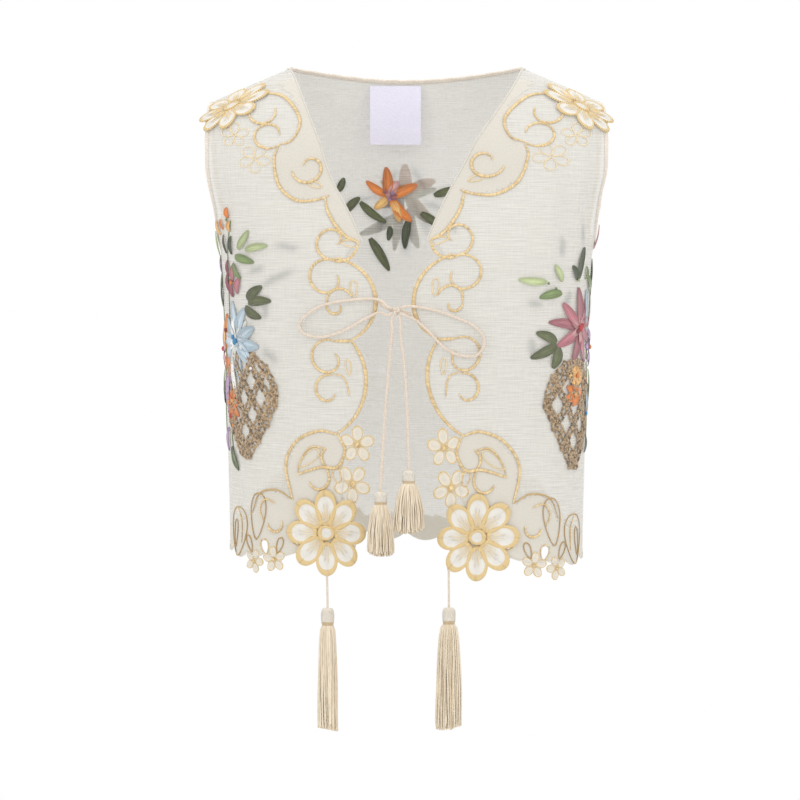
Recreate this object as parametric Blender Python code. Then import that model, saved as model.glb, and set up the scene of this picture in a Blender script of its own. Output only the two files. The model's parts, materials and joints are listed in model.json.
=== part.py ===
"""Open-front embroidered waistcoat, as a hollow garment that a wearer fills and holds up.

Metres, +Z up, the fronts towards -Y, the wearer's right at -X. The origin lies midway between the two
shoulder seams, level with the middle of each seam.

The body is one smooth skin. Each panel, applique and ribbon is an outline drawn on that skin and given a
thickness. A place on the skin is (across, down): across runs round the body from the centre front, which
is 0, to the centre back at plus or minus HALF_GIRTH, and down runs from the shoulder seam over the
shoulder to the hem. The tables below are in millimetres and give a height above the origin instead of
down, because heights are what a tape measure reads on the finished garment.
"""

import math

import bmesh
import bpy
import numpy as np
from mathutils import Vector
from mathutils.geometry import delaunay_2d_cdt

MM = 0.001

# Cloth, gaps and trims
WALL = 0.0014          # double organza with its stitching
SEAM = 0.0003          # gap that a seam leaves between two panels
RIDE = 0.0009          # an applique's back above the cloth it is sewn to
CORDING = 0.0013       # thickness of the couched gold cord
CORDING_WIDTH = 0.0034
BINDING_WIDTH = 0.0048
BINDING_LAP = 0.0006   # how far a binding stands out past the cloth on each side
LABEL_SIZE = (0.049, 0.056)
LABEL_THICKNESS = 0.001
LABEL_OFF = 0.0022     # its stitched top edge clear of the flat facets of the back
LABEL_ASIDE = 0.0104
LABEL_TOP = 0.0035
LABEL_LEAN = 0.12      # how far it follows the back outwards as it goes down
RIBBON = 0.0013        # thickness of silk ribbon and braid
GRID = 0.024           # spacing of the points inside a panel

# The body's form
NECK_HALF = 0.111      # centre to neck point, along X
NECK_HEIGHT = 0.015
BACK_NECK_DIP = 0.0095
SHOULDER_SLOPE = 0.46
SHOULDER_SOFTNESS = 0.040
SHOULDER_ROUND = 0.100  # the cloth turns over the shoulder on this radius
SQUARENESS = 2.6        # exponent of the rounded-square sections
WAIST_HEIGHT = -0.22
LEFT_DROP = 0.008       # the left front hangs this much lower at the hem
ARMHOLE_MIDDLE, ARMHOLE_HALF_HEIGHT = -0.0835, 0.0685
ARMHOLE_FORWARD, ARMHOLE_BACKWARD = 0.047, 0.051

# Sections of the body, with columns: height, half width, front depth, back depth
SECTIONS = (
    (70, 213, 86, 94),
    (15, 212, 88, 97),
    (-17, 211, 91, 100),
    (-50, 204, 94, 103),
    (-84, 196, 98, 105),
    (-120, 182, 104, 106),
    (-151, 174.5, 108, 105),
    (-205, 170.5, 107, 102),
    (-300, 168.5, 101, 99),
    (-385, 166.5, 97, 98),
    (-470, 165, 95, 98),
)

# Soft folds, with columns: across, height, half width, half length, depth (inwards)
FOLDS = (
    (190, -205, 9, 62, 2.2),
    (150, -118, 10, 52, 1.8),
    (-186, -225, 10, 60, 1.8),
    (-132, -330, 14, 70, 1.4),
    (128, -345, 13, 66, 1.6),
    (300, -250, 14, 90, 2.4),
    (-310, -270, 15, 85, 2.2),
    (372, -330, 16, 70, 1.8),
    (-385, -310, 16, 80, 2.0),
)

# The right front's edge from neck point to hem flower, with columns: across, height, bulge of the arc
# that runs to the next row. A positive bulge swells outwards from the panel.
FRONT_EDGE = (
    (84.4, -58.8, -1.5),
    (66.9, -97.9, 1.5),
    (40, -146, -3),
    (54.4, -163, 26),
    (49.6, -235, 21),
    (66.8, -321, 3),
    (62, -350, 2),
    (68, -386, 2),
    (76, -428, 0),
)
NECK_TO_BUST_BULGE = 5.5

# The hem from the hem flower round to the side seam, same columns
FRONT_HEM = (
    (112, -430, 2.5),
    (146, -433, 2.5),
    (167, -432, 9),
    (191, -424, 7),
    (211, -429, 6),
)
SIDE_HEM_HEIGHT = -428

# The back hem from the side seam to the centre back, same columns. Across is measured from the centre back.
BACK_HEM = (
    (207, -427, 8),
    (178, -426, 8),
    (150, -428, 2),
    (72, -428, 8),
    (38, -424, 9),
)
CENTRE_BACK_HEM = -424

# Small lace flowers that are part of a panel's own outline, with columns: across, height, radius, turn
FRONT_LACE_FLOWERS = (
    (47.8, -330, 17, 20),
    (53.6, -366, 18, 55),
    (134, -437, 12, 10),
    (157, -440, 11, 40),
)
BACK_LACE_FLOWERS = (
    (165, -436, 12, 0),
    (58, -434, 12, 30),
)

# Teardrop openings cut through the lace ground, with columns: across, height, length, width, turn
FRONT_CUTS = (
    (146, -423, 13, 7, 80),
    (73, -349, 11, 6, 60),
    (185, -412, 12, 6, 95),
    (118, -352, 10, 5.5, 120),
)
BACK_CUTS = (
    (164, -414, 13, 7, 90),
    (58, -413, 13, 7, 90),
    (194, -410, 11, 6, 90),
)

# Couched gold scrolls on the right front. Each row of points is one stroke: across, height.
SCROLLS = (
    ((128, -8), (119, -10), (109, -21), (105, -37), (109, -52), (119, -61)),
    ((119, -61), (125, -70), (124, -83), (118, -96), (106, -106), (92, -110), (76, -107), (65, -98)),
    ((76, -107), (72, -120), (64, -132), (54, -142), (43, -147)),
    ((44, -148), (46, -156), (57, -161), (71, -158), (78, -148), (75, -139), (66, -136)),
    ((57, -161), (69, -164), (79, -170), (83, -181), (79, -193), (69, -198)),
    ((57, -163), (42, -168), (31, -181), (30, -199), (33, -217), (42, -229), (54, -236)),
    ((54, -236), (67, -234), (79, -241), (84, -253), (80, -264), (70, -267)),
    ((54, -236), (41, -254), (38, -270), (41, -290), (51, -309), (66, -320)),
    ((66, -320), (83, -318), (100, -325), (112, -337), (118, -354), (117, -373), (112, -382)),
    ((66, -320), (64, -336), (67, -348), (78, -352), (91, -349), (104, -356)),
    ((112, -382), (125, -374), (139, -372), (150, -382), (155, -396), (154, -410), (147, -417)),
)
SCROLL_STEP = 10

# Big appliqued flowers, with columns: across, height, radius, turn
HEM_FLOWER = (80, -411, 39, 0)
SHOULDER_FLOWER_ACROSS, SHOULDER_FLOWER_DOWN, SHOULDER_FLOWER_RADIUS = 0.160, 0.060, 0.0285
SHOULDER_LIFT = 0.0017  # clear of the armhole binding
BACK_HEM_FLOWER = (112, -404, 35, 0)

# Ribbon embroidery beside each side seam, on the right: across, height of the root, length, width, turn
SIDE_RIBBONS = (
    (192, -236, 42, 13, 95),
    (191, -238, 38, 12, 50),
    (193, -239, 38, 12, 138),
    (190, -241, 38, 11, 8),
    (194, -243, 34, 11, 175),
    (190, -243, 22, 10, -50),
    (185, -198, 44, 12, 84),
    (178, -190, 32, 9, 35),
    (190, -188, 32, 9, 132),
    (173, -152, 34, 10, 18),
    (187, -168, 34, 10, 112),
)
# The lattice baskets under them: across and height of the middle, half width, half height
LATTICES = {"right": (162, -289, 35, 47), "left": (173, -294, 29, 47)}
LATTICE_BAND = 5.2
LATTICE_ROWS = 4
LATTICE_PITCH = 16.5
LATTICE_TURN = math.radians(58)
SIDE_STEM = ((192, -245), (187, -200), (181, -162), (173, -150))

# The lily at the centre back: across from the centre back, height of the root, length, width, turn
LILY = (
    (0, -100, 30, 12, 92),
    (0, -100, 27, 11, 150),
    (0, -100, 31, 12, 28),
    (0, -101, 27, 11, 205),
    (0, -101, 36, 13, -48),
    (-4, -102, 52, 9, 262),
    (-5, -118, 44, 10, 208),
    (3, -112, 40, 10, -78),
)

# The tie: the knot, and routes as across and height of the points, all in front of the cloth
KNOT = (-9.5, -206)
KNOT_RADIUS = 0.0042
KNOT_OUT = 0.0075
KNOT_GAP = 0.0006
TIE_DIAMETER = 0.0028
TIE_CLEARANCE = 0.0005
TIE_ENDS = ((-26.2, -200), (5.4, -209))
RIGHT_LOOP = (
    (-27, -198), (-52, -199), (-73, -203), (-89, -212), (-96, -222), (-90, -230),
    (-75, -232), (-56, -226), (-38, -216), (-25, -210),
)
LEFT_LOOP = (
    (7, -201), (24, -204), (42, -210), (58, -217), (68, -227), (68, -238), (60, -245),
    (44, -243), (31, -235), (20, -223), (8, -213),
)
# A tail hangs from the knot: sideways and height of its points
RIGHT_TAIL = ((-13.5, -232), (-17, -270), (-21, -325), (-23.5, -371))
LEFT_TAIL = ((-5.5, -232), (-2, -260), (0.5, -300), (1.8, -352))
TAIL_DEPTH = -0.1155

# Tassels, with columns: name, sideways, head radius, head height, skirt radius, whole length, flatness,
# which way the petal points that a hem tassel hangs from, and the cord's start below its tip
TASSELS = (
    ("tie_tassel_right", 0, 5.6, 13, 13.0, 61, 0.72, 0, 0),
    ("tie_tassel_left", 0, 5.8, 13, 14.5, 59, 0.72, 0, 0),
    ("hem_tassel_right", -72.0, 5.6, 18, 9.6, 116, 0.90, 270, 0.0005),
    ("hem_tassel_left", 38.5, 5.6, 17, 12.4, 114, 0.90, 225, 0.0011),
)
HEM_CORD_DIAMETER = 0.0022
HEM_CORD_LENGTHS = {"right": 0.0295, "left": 0.0350}

PALE_CLOTH = (0.79, 0.78, 0.74)
COLOURS = {
    "cloth": (PALE_CLOTH, 0.72, 0.0),
    "gold": ((0.78, 0.58, 0.27), 0.45, 0.0),
    "applique": ((0.86, 0.80, 0.66), 0.60, 0.0),
    "binding": ((0.80, 0.69, 0.56), 0.65, 0.0),
    "cord": ((0.80, 0.68, 0.54), 0.60, 0.0),
    "tassel": ((0.78, 0.68, 0.51), 0.50, 0.0),
    "label": ((0.84, 0.81, 0.94), 0.40, 0.0),
    "ribbon": ((0.62, 0.20, 0.26), 0.50, 0.0),
    "lattice": ((0.30, 0.19, 0.10), 0.70, 0.0),
    "lily": ((0.86, 0.42, 0.12), 0.50, 0.0),
}


def clear_scene():
    for thing in list(bpy.data.objects):
        bpy.data.objects.remove(thing, do_unlink=True)


def material(name):
    """One plain material for each kind of stuff, made the first time it is asked for."""
    if name in bpy.data.materials:
        return bpy.data.materials[name]
    colour, roughness, metallic = COLOURS[name]
    made = bpy.data.materials.new(name)
    made.use_nodes = True
    shader = made.node_tree.nodes["Principled BSDF"]
    shader.inputs["Base Color"].default_value = (*colour, 1.0)
    shader.inputs["Roughness"].default_value = roughness
    shader.inputs["Metallic"].default_value = metallic
    return made


# The skin of the body


def column(height, index):
    """A column of SECTIONS at any height, joined smoothly from row to row."""
    rows = np.array(SECTIONS[::-1], float) * MM
    known, values = rows[:, 0], rows[:, index]
    slopes = np.gradient(values, known)
    height = np.clip(height, known[0], known[-1])
    i = np.clip(np.searchsorted(known, height) - 1, 0, len(known) - 2)
    gap = known[i + 1] - known[i]
    t = (height - known[i]) / gap
    return (
        (2 * t**3 - 3 * t**2 + 1) * values[i]
        + (t**3 - 2 * t**2 + t) * gap * slopes[i]
        + (3 * t**2 - 2 * t**3) * values[i + 1]
        + (t**3 - t**2) * gap * slopes[i + 1]
    )


def reach(angle, height):
    """Distance from the middle of the body to its skin, at an angle from the centre front."""
    wide = np.abs(np.sin(angle)) / column(height, 1)
    deep = np.abs(np.cos(angle)) / np.where(np.cos(angle) > 0, column(height, 2), column(height, 3))
    return (wide**SQUARENESS + deep**SQUARENESS) ** (-1 / SQUARENESS)


def girth_table():
    """Angles round half the body with the length of cloth up to each, at the waist."""
    angles = np.linspace(0, math.pi, 721)
    far = reach(angles, np.full(len(angles), WAIST_HEIGHT))
    steps = np.hypot(np.diff(far * np.sin(angles)), np.diff(far * np.cos(angles)))
    return angles, np.concatenate([[0], np.cumsum(steps)])


ANGLES, LENGTHS = girth_table()
HALF_GIRTH = float(LENGTHS[-1])
SIDE_SEAM = float(np.interp(math.pi / 2, ANGLES, LENGTHS))
TURN_OVER = SHOULDER_ROUND * math.pi / 2


def shoulder_height(angle):
    """Height of the shoulder line above each angle. Over the neck opening it carries on, unseen."""
    sideways = np.abs(reach(angle, np.full(np.shape(angle), 0.0)) * np.sin(angle))
    soft = np.hypot(sideways, SHOULDER_SOFTNESS) - math.hypot(NECK_HALF, SHOULDER_SOFTNESS)
    return NECK_HEIGHT - SHOULDER_SLOPE * soft


def ease(low, high, value):
    t = np.clip((value - low) / (high - low), 0, 1)
    return t * t * (3 - 2 * t)


def wrapped(across):
    """The same place across, counted from the centre front the short way round."""
    return (np.asarray(across, float) + HALF_GIRTH) % (2 * HALF_GIRTH) - HALF_GIRTH


def skin(across, down):
    """Points on the outer face of the cloth."""
    across, down = wrapped(across), np.asarray(down, float)
    angle = np.sign(across) * np.interp(np.abs(across), LENGTHS, ANGLES)
    turn = np.clip(down / SHOULDER_ROUND, -math.pi / 2, math.pi / 2)
    fall = SHOULDER_ROUND * (1 - np.cos(turn)) + np.maximum(down - TURN_OVER, 0)
    height = shoulder_height(angle) - fall
    far = reach(angle, height)
    for place, level, half_width, half_length, depth in np.array(FOLDS) * MM:
        far = far - depth * np.exp(-(((across - place) / half_width) ** 2)) * np.exp(
            -(((height - level) / half_length) ** 2)
        )
    at_front = ease(-0.027, 0.004, across)
    at_back = ease(HALF_GIRTH, HALF_GIRTH - 0.1, np.abs(across))
    lowered = np.where(np.abs(across) < SIDE_SEAM, at_front, 0.5 + np.sign(across) * 0.5 * at_back)
    height = height - LEFT_DROP * lowered * np.clip(-height / 0.44, 0, 1.1)
    return np.stack([far * np.sin(angle), -far * np.cos(angle) * np.sin(turn), height], -1)


def outward(across, down):
    """Unit normals of the skin, pointing away from the body."""
    step = 0.0004
    along = skin(across + step, down) - skin(across - step, down)
    fall = skin(across, down + step) - skin(across, down - step)
    normal = np.cross(fall, along)
    return normal / np.linalg.norm(normal, axis=-1, keepdims=True)


def place(chart, out):
    """Points at a distance out from the outer face of the cloth."""
    across, down = np.asarray(chart, float).T
    return skin(across, down) + outward(across, down) * np.reshape(out, (-1, 1))


def down_at(across, height):
    """How far down the skin a height lies, above each place across."""
    fall = shoulder_height(np.interp(np.abs(wrapped(across)), LENGTHS, ANGLES)) - height
    turned = SHOULDER_ROUND * np.arccos(np.clip(1 - fall / SHOULDER_ROUND, -1, 1))
    return np.where(fall < SHOULDER_ROUND, turned, TURN_OVER + fall - SHOULDER_ROUND)


def chart_of(points):
    """(across, height) in millimetres to (across, down) in metres."""
    points = np.asarray(points, float) * MM
    return np.stack([points[:, 0], down_at(points[:, 0], points[:, 1])], -1)


# The right side is drawn, and the left is its mirror image. The left front's edge also lies further over.


def left_shift(down):
    """How far the left front's edge lies towards the wearer's right of a true mirror image."""
    return -0.0215 * ease(0.05, 0.20, down) + 0.0115 * ease(0.33, 0.46, down)


def to_side(chart, side):
    """A chart drawn for the wearer's right, with across positive, on the side asked for (-1 right, +1 left)."""
    chart = np.array(chart, float)
    if side > 0:
        fade = ease(SIDE_SEAM - 0.03, 0.07, chart[:, 0])
        return np.stack([chart[:, 0] + left_shift(chart[:, 1]) * fade, chart[:, 1]], -1)
    return chart * (-1, 1)


# Outlines


def arc(start, end, bulge, step=11.0):
    """Points from start up to, not with, end, on an arc that swells to the right of the way it goes."""
    start, end = np.array(start, float), np.array(end, float)
    chord = end - start
    length = np.linalg.norm(chord)
    count = max(1, round((length + 2 * abs(bulge)) / step))
    t = np.arange(count) / count
    points = start + t[:, None] * chord
    if abs(bulge) < 0.1:
        return points
    right = np.array([chord[1], -chord[0]]) / length
    radius = (length**2 / 4 + bulge**2) / (2 * abs(bulge))
    half = 2 * math.atan2(2 * abs(bulge), length)
    swing = half * (2 * t - 1)
    along = radius * np.sin(swing) + length / 2
    out = (np.cos(swing) - math.cos(half)) * radius * math.copysign(1, bulge)
    return start + along[:, None] * chord / length + out[:, None] * right


def chain(rows, last):
    """The points of arcs through rows of (across, height, bulge), ending at the point last."""
    ends = [row[:2] for row in rows[1:]] + [last]
    return np.concatenate([arc(row[:2], end, row[2]) for row, end in zip(rows, ends, strict=True)])


def smooth_line(points, step):
    """A Catmull-Rom curve through the points, cut into even steps."""
    points = np.asarray(points, float)
    padded = np.concatenate([[2 * points[0] - points[1]], points, [2 * points[-1] - points[-2]]])
    t = np.linspace(0, 1, 12, endpoint=False)[:, None]
    runs = [
        0.5 * (2 * b + (c - a) * t + (2 * a - 5 * b + 4 * c - d) * t**2 + (3 * b - a - 3 * c + d) * t**3)
        for a, b, c, d in zip(padded, padded[1:], padded[2:], padded[3:])
    ]
    fine = np.concatenate([*runs, points[-1:]])
    lengths = np.concatenate([[0], np.cumsum(np.linalg.norm(np.diff(fine, axis=0), axis=1))])
    wanted = np.linspace(0, lengths[-1], max(2, round(lengths[-1] / step) + 1))
    return np.stack([np.interp(wanted, lengths, fine[:, k]) for k in range(points.shape[1])], -1)


def ribbon(line, width):
    """The outline of a band of even width along a line."""
    tangent = np.gradient(line, axis=0)
    tangent /= np.linalg.norm(tangent, axis=1, keepdims=True)
    aside = np.stack([-tangent[:, 1], tangent[:, 0]], -1) * width / 2
    return np.concatenate([line + aside, (line - aside)[::-1]])


def blossom(across, height, radius, turn, petals=5, depth=0.30, around=20):
    """The outline of a small flower."""
    angle = np.linspace(0, 2 * math.pi, around, endpoint=False)
    far = radius * (1 - depth + depth * np.abs(np.cos(petals * (angle - math.radians(turn)) / 2)))
    return np.stack([across + far * np.cos(angle), height + far * np.sin(angle)], -1)


def teardrop(across, height, length, width, turn, around=9):
    """A leaf or teardrop outline, narrow at its root. The place given is its middle."""
    t = np.linspace(0, 2 * math.pi, around, endpoint=False)
    along = length / 2 * np.cos(t)
    aside = width / 2 * np.sin(t) * (1 + 0.35 * np.cos(t))
    c, s = math.cos(math.radians(turn)), math.sin(math.radians(turn))
    return np.stack([across + along * c - aside * s, height + along * s + aside * c], -1)


def petal(across, height, length, width, turn):
    """A ribbon petal that grows from the place given."""
    c, s = math.cos(math.radians(turn)), math.sin(math.radians(turn))
    return teardrop(across + 0.44 * length * c, height + 0.44 * length * s, length, width, turn)


# Walls


def counter_clockwise(loop):
    x, y = loop.T
    area = (x * np.roll(y, -1) - np.roll(x, -1) * y).sum()
    return loop if area > 0 else loop[::-1]


def inside(points, loop):
    """Whether each point lies inside a closed loop."""
    x, y = points.T
    found = np.zeros(len(points), bool)
    for (ax, ay), (bx, by) in zip(loop, np.roll(loop, -1, 0)):
        crosses = (ay > y) != (by > y)
        found ^= crosses & (x < ax + (y - ay) * (bx - ax) / np.where(by == ay, 1, by - ay))
    return found


def fill_points(outlines, holes, spacing):
    """A staggered grid inside the outlines, clear of every edge."""
    border = np.concatenate([*outlines, *holes])
    low, high = border.min(0), border.max(0)
    rows = np.arange(low[1], high[1], spacing * 0.87)
    grid = np.array([
        (x, y)
        for k, y in enumerate(rows)
        for x in np.arange(low[0] + spacing * 0.5 * (k % 2), high[0], spacing)
    ])
    keep = np.any([inside(grid, loop) for loop in outlines], axis=0)
    for hole in holes:
        keep &= ~inside(grid, hole)
    grid = grid[keep]
    near = np.min([np.hypot(*(grid - p).T) for p in border], axis=0)
    return grid[near > 0.5 * spacing]


def solid(name, points, faces, stuff):
    """A mesh object with its faces turned outwards."""
    mesh = bpy.data.meshes.new(name)
    mesh.from_pydata([tuple(p) for p in points], [], [tuple(int(i) for i in f) for f in faces])
    shape = bmesh.new()
    shape.from_mesh(mesh)
    bmesh.ops.triangulate(shape, faces=shape.faces[:])
    bmesh.ops.recalc_face_normals(shape, faces=shape.faces[:])
    if shape.calc_volume(signed=True) < 0:
        bmesh.ops.reverse_faces(shape, faces=shape.faces[:])
    shape.to_mesh(mesh)
    shape.free()
    mesh.shade_smooth()
    mesh.set_sharp_from_angle(angle=math.radians(50))
    mesh.materials.append(material(stuff))
    made = bpy.data.objects.new(name, mesh)
    bpy.context.scene.collection.objects.link(made)
    return made


def wall(name, outlines, stuff, inner, outer, holes=(), spacing=None):
    """A closed wall over the union of chart outlines, less the holes, between two distances from the skin."""
    outlines = [counter_clockwise(np.asarray(o)) for o in outlines]
    holes = [counter_clockwise(np.asarray(h)) for h in holes]
    loops = [*outlines, *holes]
    starts = np.cumsum([0] + [len(loop) for loop in loops])
    faces = [list(range(a, b)) for a, b in zip(starts, starts[1:])]
    coords = np.concatenate(loops)
    if spacing:
        coords = np.concatenate([coords, fill_points(outlines, holes, spacing)])
    flat, _, tris, _, _, parents = delaunay_2d_cdt([Vector(c) for c in coords], [], faces, 1, 2e-5)
    kept = [
        t for t, p in zip(tris, parents)
        if any(k < len(outlines) for k in p) and not any(k >= len(outlines) for k in p)
    ]
    used = sorted({i for t in kept for i in t})
    number = {old: new for new, old in enumerate(used)}
    kept = [[number[i] for i in t] for t in kept]
    flat = np.array([tuple(flat[i]) for i in used])
    count = len(flat)
    edges = {(t[k], t[(k + 1) % 3]) for t in kept for k in range(3)}
    rim = [(a, b) for a, b in edges if (b, a) not in edges]
    points = np.concatenate([place(flat, np.full(count, outer)), place(flat, np.full(count, inner))])
    sides = [(b, a, a + count, b + count) for a, b in sorted(rim)]
    back = [tuple(i + count for i in reversed(t)) for t in kept]
    return solid(name, points, [*kept, *back, *sides], stuff)


# Panels


def neck_point():
    """Across, at the end of the shoulder seam next to the neck."""
    table = np.linspace(0.05, 0.2, 400)
    return float(np.interp(NECK_HALF, skin(table, np.zeros(400))[:, 0], table))


def armhole(behind, count=15):
    """The chart of one half of the armhole's edge from the shoulder tip to the underarm."""
    table = np.linspace(SIDE_SEAM - 0.09, SIDE_SEAM, 500)
    across = 2 * SIDE_SEAM - table if behind else table
    found = []
    for turn in np.linspace(0.06, math.pi, count)[:-1]:
        height = ARMHOLE_MIDDLE + ARMHOLE_HALF_HEIGHT * math.cos(turn)
        wanted = (ARMHOLE_BACKWARD if behind else ARMHOLE_FORWARD) * math.sin(turn)
        down = down_at(across, np.full(500, height))
        depth = np.abs(skin(across, down)[:, 1])
        over_the_shoulder = 10 * (down < 0.002)
        pick = int(np.argmin(np.abs(depth - wanted) + over_the_shoulder))
        found.append((across[pick], down[pick]))
    underarm = down_at(SIDE_SEAM, ARMHOLE_MIDDLE - ARMHOLE_HALF_HEIGHT)
    return np.array([*found, (SIDE_SEAM, float(underarm))])


def front_outline():
    neck = neck_point()
    edge_start = chart_of([FRONT_EDGE[0][:2]])[0]
    neck_edge = arc((neck / MM, SEAM / MM), edge_start / MM, NECK_TO_BUST_BULGE) * MM
    side = (SIDE_SEAM - SEAM) / MM
    edge = chart_of(chain(FRONT_EDGE, FRONT_HEM[0][:2]))
    hem = chart_of(chain(FRONT_HEM, (side, SIDE_HEM_HEIGHT)))
    scye = armhole(False)
    underarm = scye[-1, 1]
    hem_end = chart_of([(side, SIDE_HEM_HEIGHT)])[0, 1]
    seam = np.stack([np.full(13, side * MM), np.linspace(hem_end, underarm + SEAM, 13)], -1)
    scye = scye[::-1][1:]
    shoulder = np.stack([np.linspace(scye[-1, 0], neck, 6)[:-1], np.full(5, SEAM)], -1)
    return np.concatenate([neck_edge, edge, hem, seam, scye, shoulder])


def back_outline():
    """The whole back, as the left half of the chart and its mirror image about the centre back."""
    half = HALF_GIRTH / MM
    side = (SIDE_SEAM + SEAM) / MM
    rows = [(side, SIDE_HEM_HEIGHT, 5)] + [(half - a, height, bulge) for a, height, bulge in BACK_HEM]
    hem = chart_of(chain(rows, (half, CENTRE_BACK_HEM)))
    scye = armhole(True)
    seam_across = np.full(12, side * MM)
    seam = np.stack([seam_across, np.linspace(scye[-1, 1] + SEAM, hem[0, 1], 13)[:-1]], -1)
    neck_line = back_neck_line()
    shoulder = np.stack([np.linspace(neck_line[-1, 0], scye[0, 0], 6)[1:], np.full(5, SEAM)], -1)
    drawn = np.concatenate([neck_line, shoulder, scye[:-1], seam, hem])
    centre = chart_of([(half, CENTRE_BACK_HEM)])
    mirrored = drawn[::-1] * (-1, 1) + (2 * HALF_GIRTH, 0)
    return np.concatenate([drawn, centre, mirrored[:-1]])


def behind(across):
    """The place across on the back that lies level with one on the front, at the shoulder seam."""
    table = np.linspace(HALF_GIRTH - 0.2, HALF_GIRTH - 0.05, 400)
    sideways = skin(table, np.zeros(400))[:, 0]
    wanted = skin(np.array([across]), np.zeros(1))[0, 0]
    return float(np.interp(wanted, sideways[::-1], table[::-1]))


def back_neck_line(count=12):
    """The back neck edge from the centre back to the neck point, dipping a little at the middle."""
    neck = behind(neck_point())
    across = np.linspace(HALF_GIRTH, neck, count)
    rise = np.sin((across - neck) / (HALF_GIRTH - neck) * math.pi / 2)
    down = np.maximum(down_at(across, NECK_HEIGHT - BACK_NECK_DIP * rise), SEAM)
    return np.stack([across, down], -1)


def both_backs(loops):
    """Chart outlines drawn from the centre back towards the left, and their mirror images."""
    return [*loops, *[loop * (-1, 1) + (2 * HALF_GIRTH, 0) for loop in loops]]


def from_centre_back(points):
    """(across from the centre back, height) in millimetres to the chart."""
    points = np.asarray(points, float)
    return chart_of(np.stack([HALF_GIRTH / MM - points[:, 0], points[:, 1]], -1))


def make_panels():
    right = front_outline()
    lace = [chart_of(blossom(*row)) for row in FRONT_LACE_FLOWERS]
    cuts = [chart_of(teardrop(*row)) for row in FRONT_CUTS]
    for name, side in (("front_right", -1), ("front_left", 1)):
        outlines = [to_side(o, side) for o in (right, *lace)]
        wall(name, outlines, "cloth", -WALL, 0, [to_side(c, side) for c in cuts], GRID)
    flowers = [from_centre_back(blossom(*row)) for row in BACK_LACE_FLOWERS]
    flowers.append(from_centre_back(daisy(*BACK_HEM_FLOWER)))
    cuts = [from_centre_back(teardrop(*row)) for row in BACK_CUTS]
    wall("back", [back_outline(), *both_backs(flowers)], "cloth", -WALL, 0, both_backs(cuts), GRID)


def make_strip(name, points, normals, into, closed, stuff):
    """A binding: a flat band beside a cut edge, standing out past the cloth on both faces."""
    corners = (
        (SEAM, -WALL - BINDING_LAP),
        (SEAM, BINDING_LAP),
        (SEAM + BINDING_WIDTH, BINDING_LAP),
        (SEAM + BINDING_WIDTH, -WALL - BINDING_LAP),
    )
    rings = np.stack([points + into * a + normals * n for a, n in corners], 1)
    count = len(points)
    faces = [
        (4 * i + k, 4 * i + (k + 1) % 4, 4 * j + (k + 1) % 4, 4 * j + k)
        for i in range(count if closed else count - 1)
        for j in [(i + 1) % count]
        for k in range(4)
    ]
    if not closed:
        faces += [(0, 1, 2, 3), tuple(4 * (count - 1) + k for k in (3, 2, 1, 0))]
    return solid(name, rings.reshape(-1, 3), faces, stuff)


def make_armhole_bindings():
    front, back = armhole(False), armhole(True)
    loop = np.concatenate([front[::-1], back[:-1]])
    for name, side in (("armhole_binding_right", -1), ("armhole_binding_left", 1)):
        across = loop[:, 0] * side
        points, normals = skin(across, loop[:, 1]), outward(across, loop[:, 1])
        tangent = np.roll(points, -1, 0) - np.roll(points, 1, 0)
        into = np.cross(normals, tangent)
        into /= np.linalg.norm(into, axis=1, keepdims=True)
        middle = points.mean(0)
        into *= np.sign(((middle - points) * into).sum(1))[:, None]
        make_strip(name, points, normals, into, True, "binding")


def make_neck_binding():
    half = back_neck_line()
    line = np.concatenate([half[::-1], half[1:] * (-1, 1) + (2 * HALF_GIRTH, 0)])
    points, normals = skin(*line.T), outward(*line.T)
    tangent = np.gradient(points, axis=0)
    into = np.cross(normals, tangent)
    into /= np.linalg.norm(into, axis=1, keepdims=True)
    middle = len(points) // 2
    into *= np.sign(into[middle, 2])
    make_strip("back_neck_binding", points, normals, into, False, "binding")


def make_label():
    """A plain woven tab that hangs from the back neck binding, bowing a little with the back."""
    width, height = LABEL_SIZE
    columns, rows = 4, 4
    x = np.linspace(-width / 2, width / 2, columns + 1) - LABEL_ASIDE
    level = np.linspace(LABEL_TOP, LABEL_TOP - height, rows + 1)
    top_down = down_at(HALF_GIRTH - x, np.full(len(x), LABEL_TOP))
    top = place(np.stack([HALF_GIRTH - x, top_down], -1), np.full(len(x), -WALL - LABEL_OFF))
    sheet = np.array([
        [(x[c], top[c, 1] + LABEL_LEAN * (LABEL_TOP - z), z) for c in range(columns + 1)] for z in level
    ]).reshape(-1, 3)
    thick = sheet - (0, LABEL_THICKNESS, 0)
    count = len(sheet)
    wide = columns + 1
    cells = [(r * wide + c, r * wide + c + 1, (r + 1) * wide + c + 1, (r + 1) * wide + c)
             for r in range(rows) for c in range(columns)]
    border = (
        [(c, c + 1) for c in range(columns)]
        + [(rows * wide + c + 1, rows * wide + c) for c in range(columns)]
        + [((r + 1) * wide, r * wide) for r in range(rows)]
        + [(r * wide + columns, (r + 1) * wide + columns) for r in range(rows)]
    )
    faces = cells + [tuple(i + count for i in reversed(c)) for c in cells]
    faces += [(b, a, a + count, b + count) for a, b in border]
    solid("label", np.concatenate([sheet, thick]), faces, "label")


# Appliques and embroidery that stand out from the cloth


def make_cording():
    """The couched scrolls of each front, as one band that lies on the cloth."""
    for name, side in (("scroll_cording_right", -1), ("scroll_cording_left", 1)):
        bands = []
        for stroke in SCROLLS:
            line = smooth_line(np.array(stroke, float), SCROLL_STEP)
            bands.append(to_side(ribbon(chart_of(line), CORDING_WIDTH), side))
        wall(name, bands, "gold", RIDE, RIDE + CORDING)


def petal_reach(angle, radius, turn, petals=8):
    """Distance from a big flower's middle to its edge."""
    swell = np.abs(np.cos(petals * (angle - math.radians(turn)) / 2)) ** 0.55
    return radius * (0.64 + 0.36 * swell)


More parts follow.
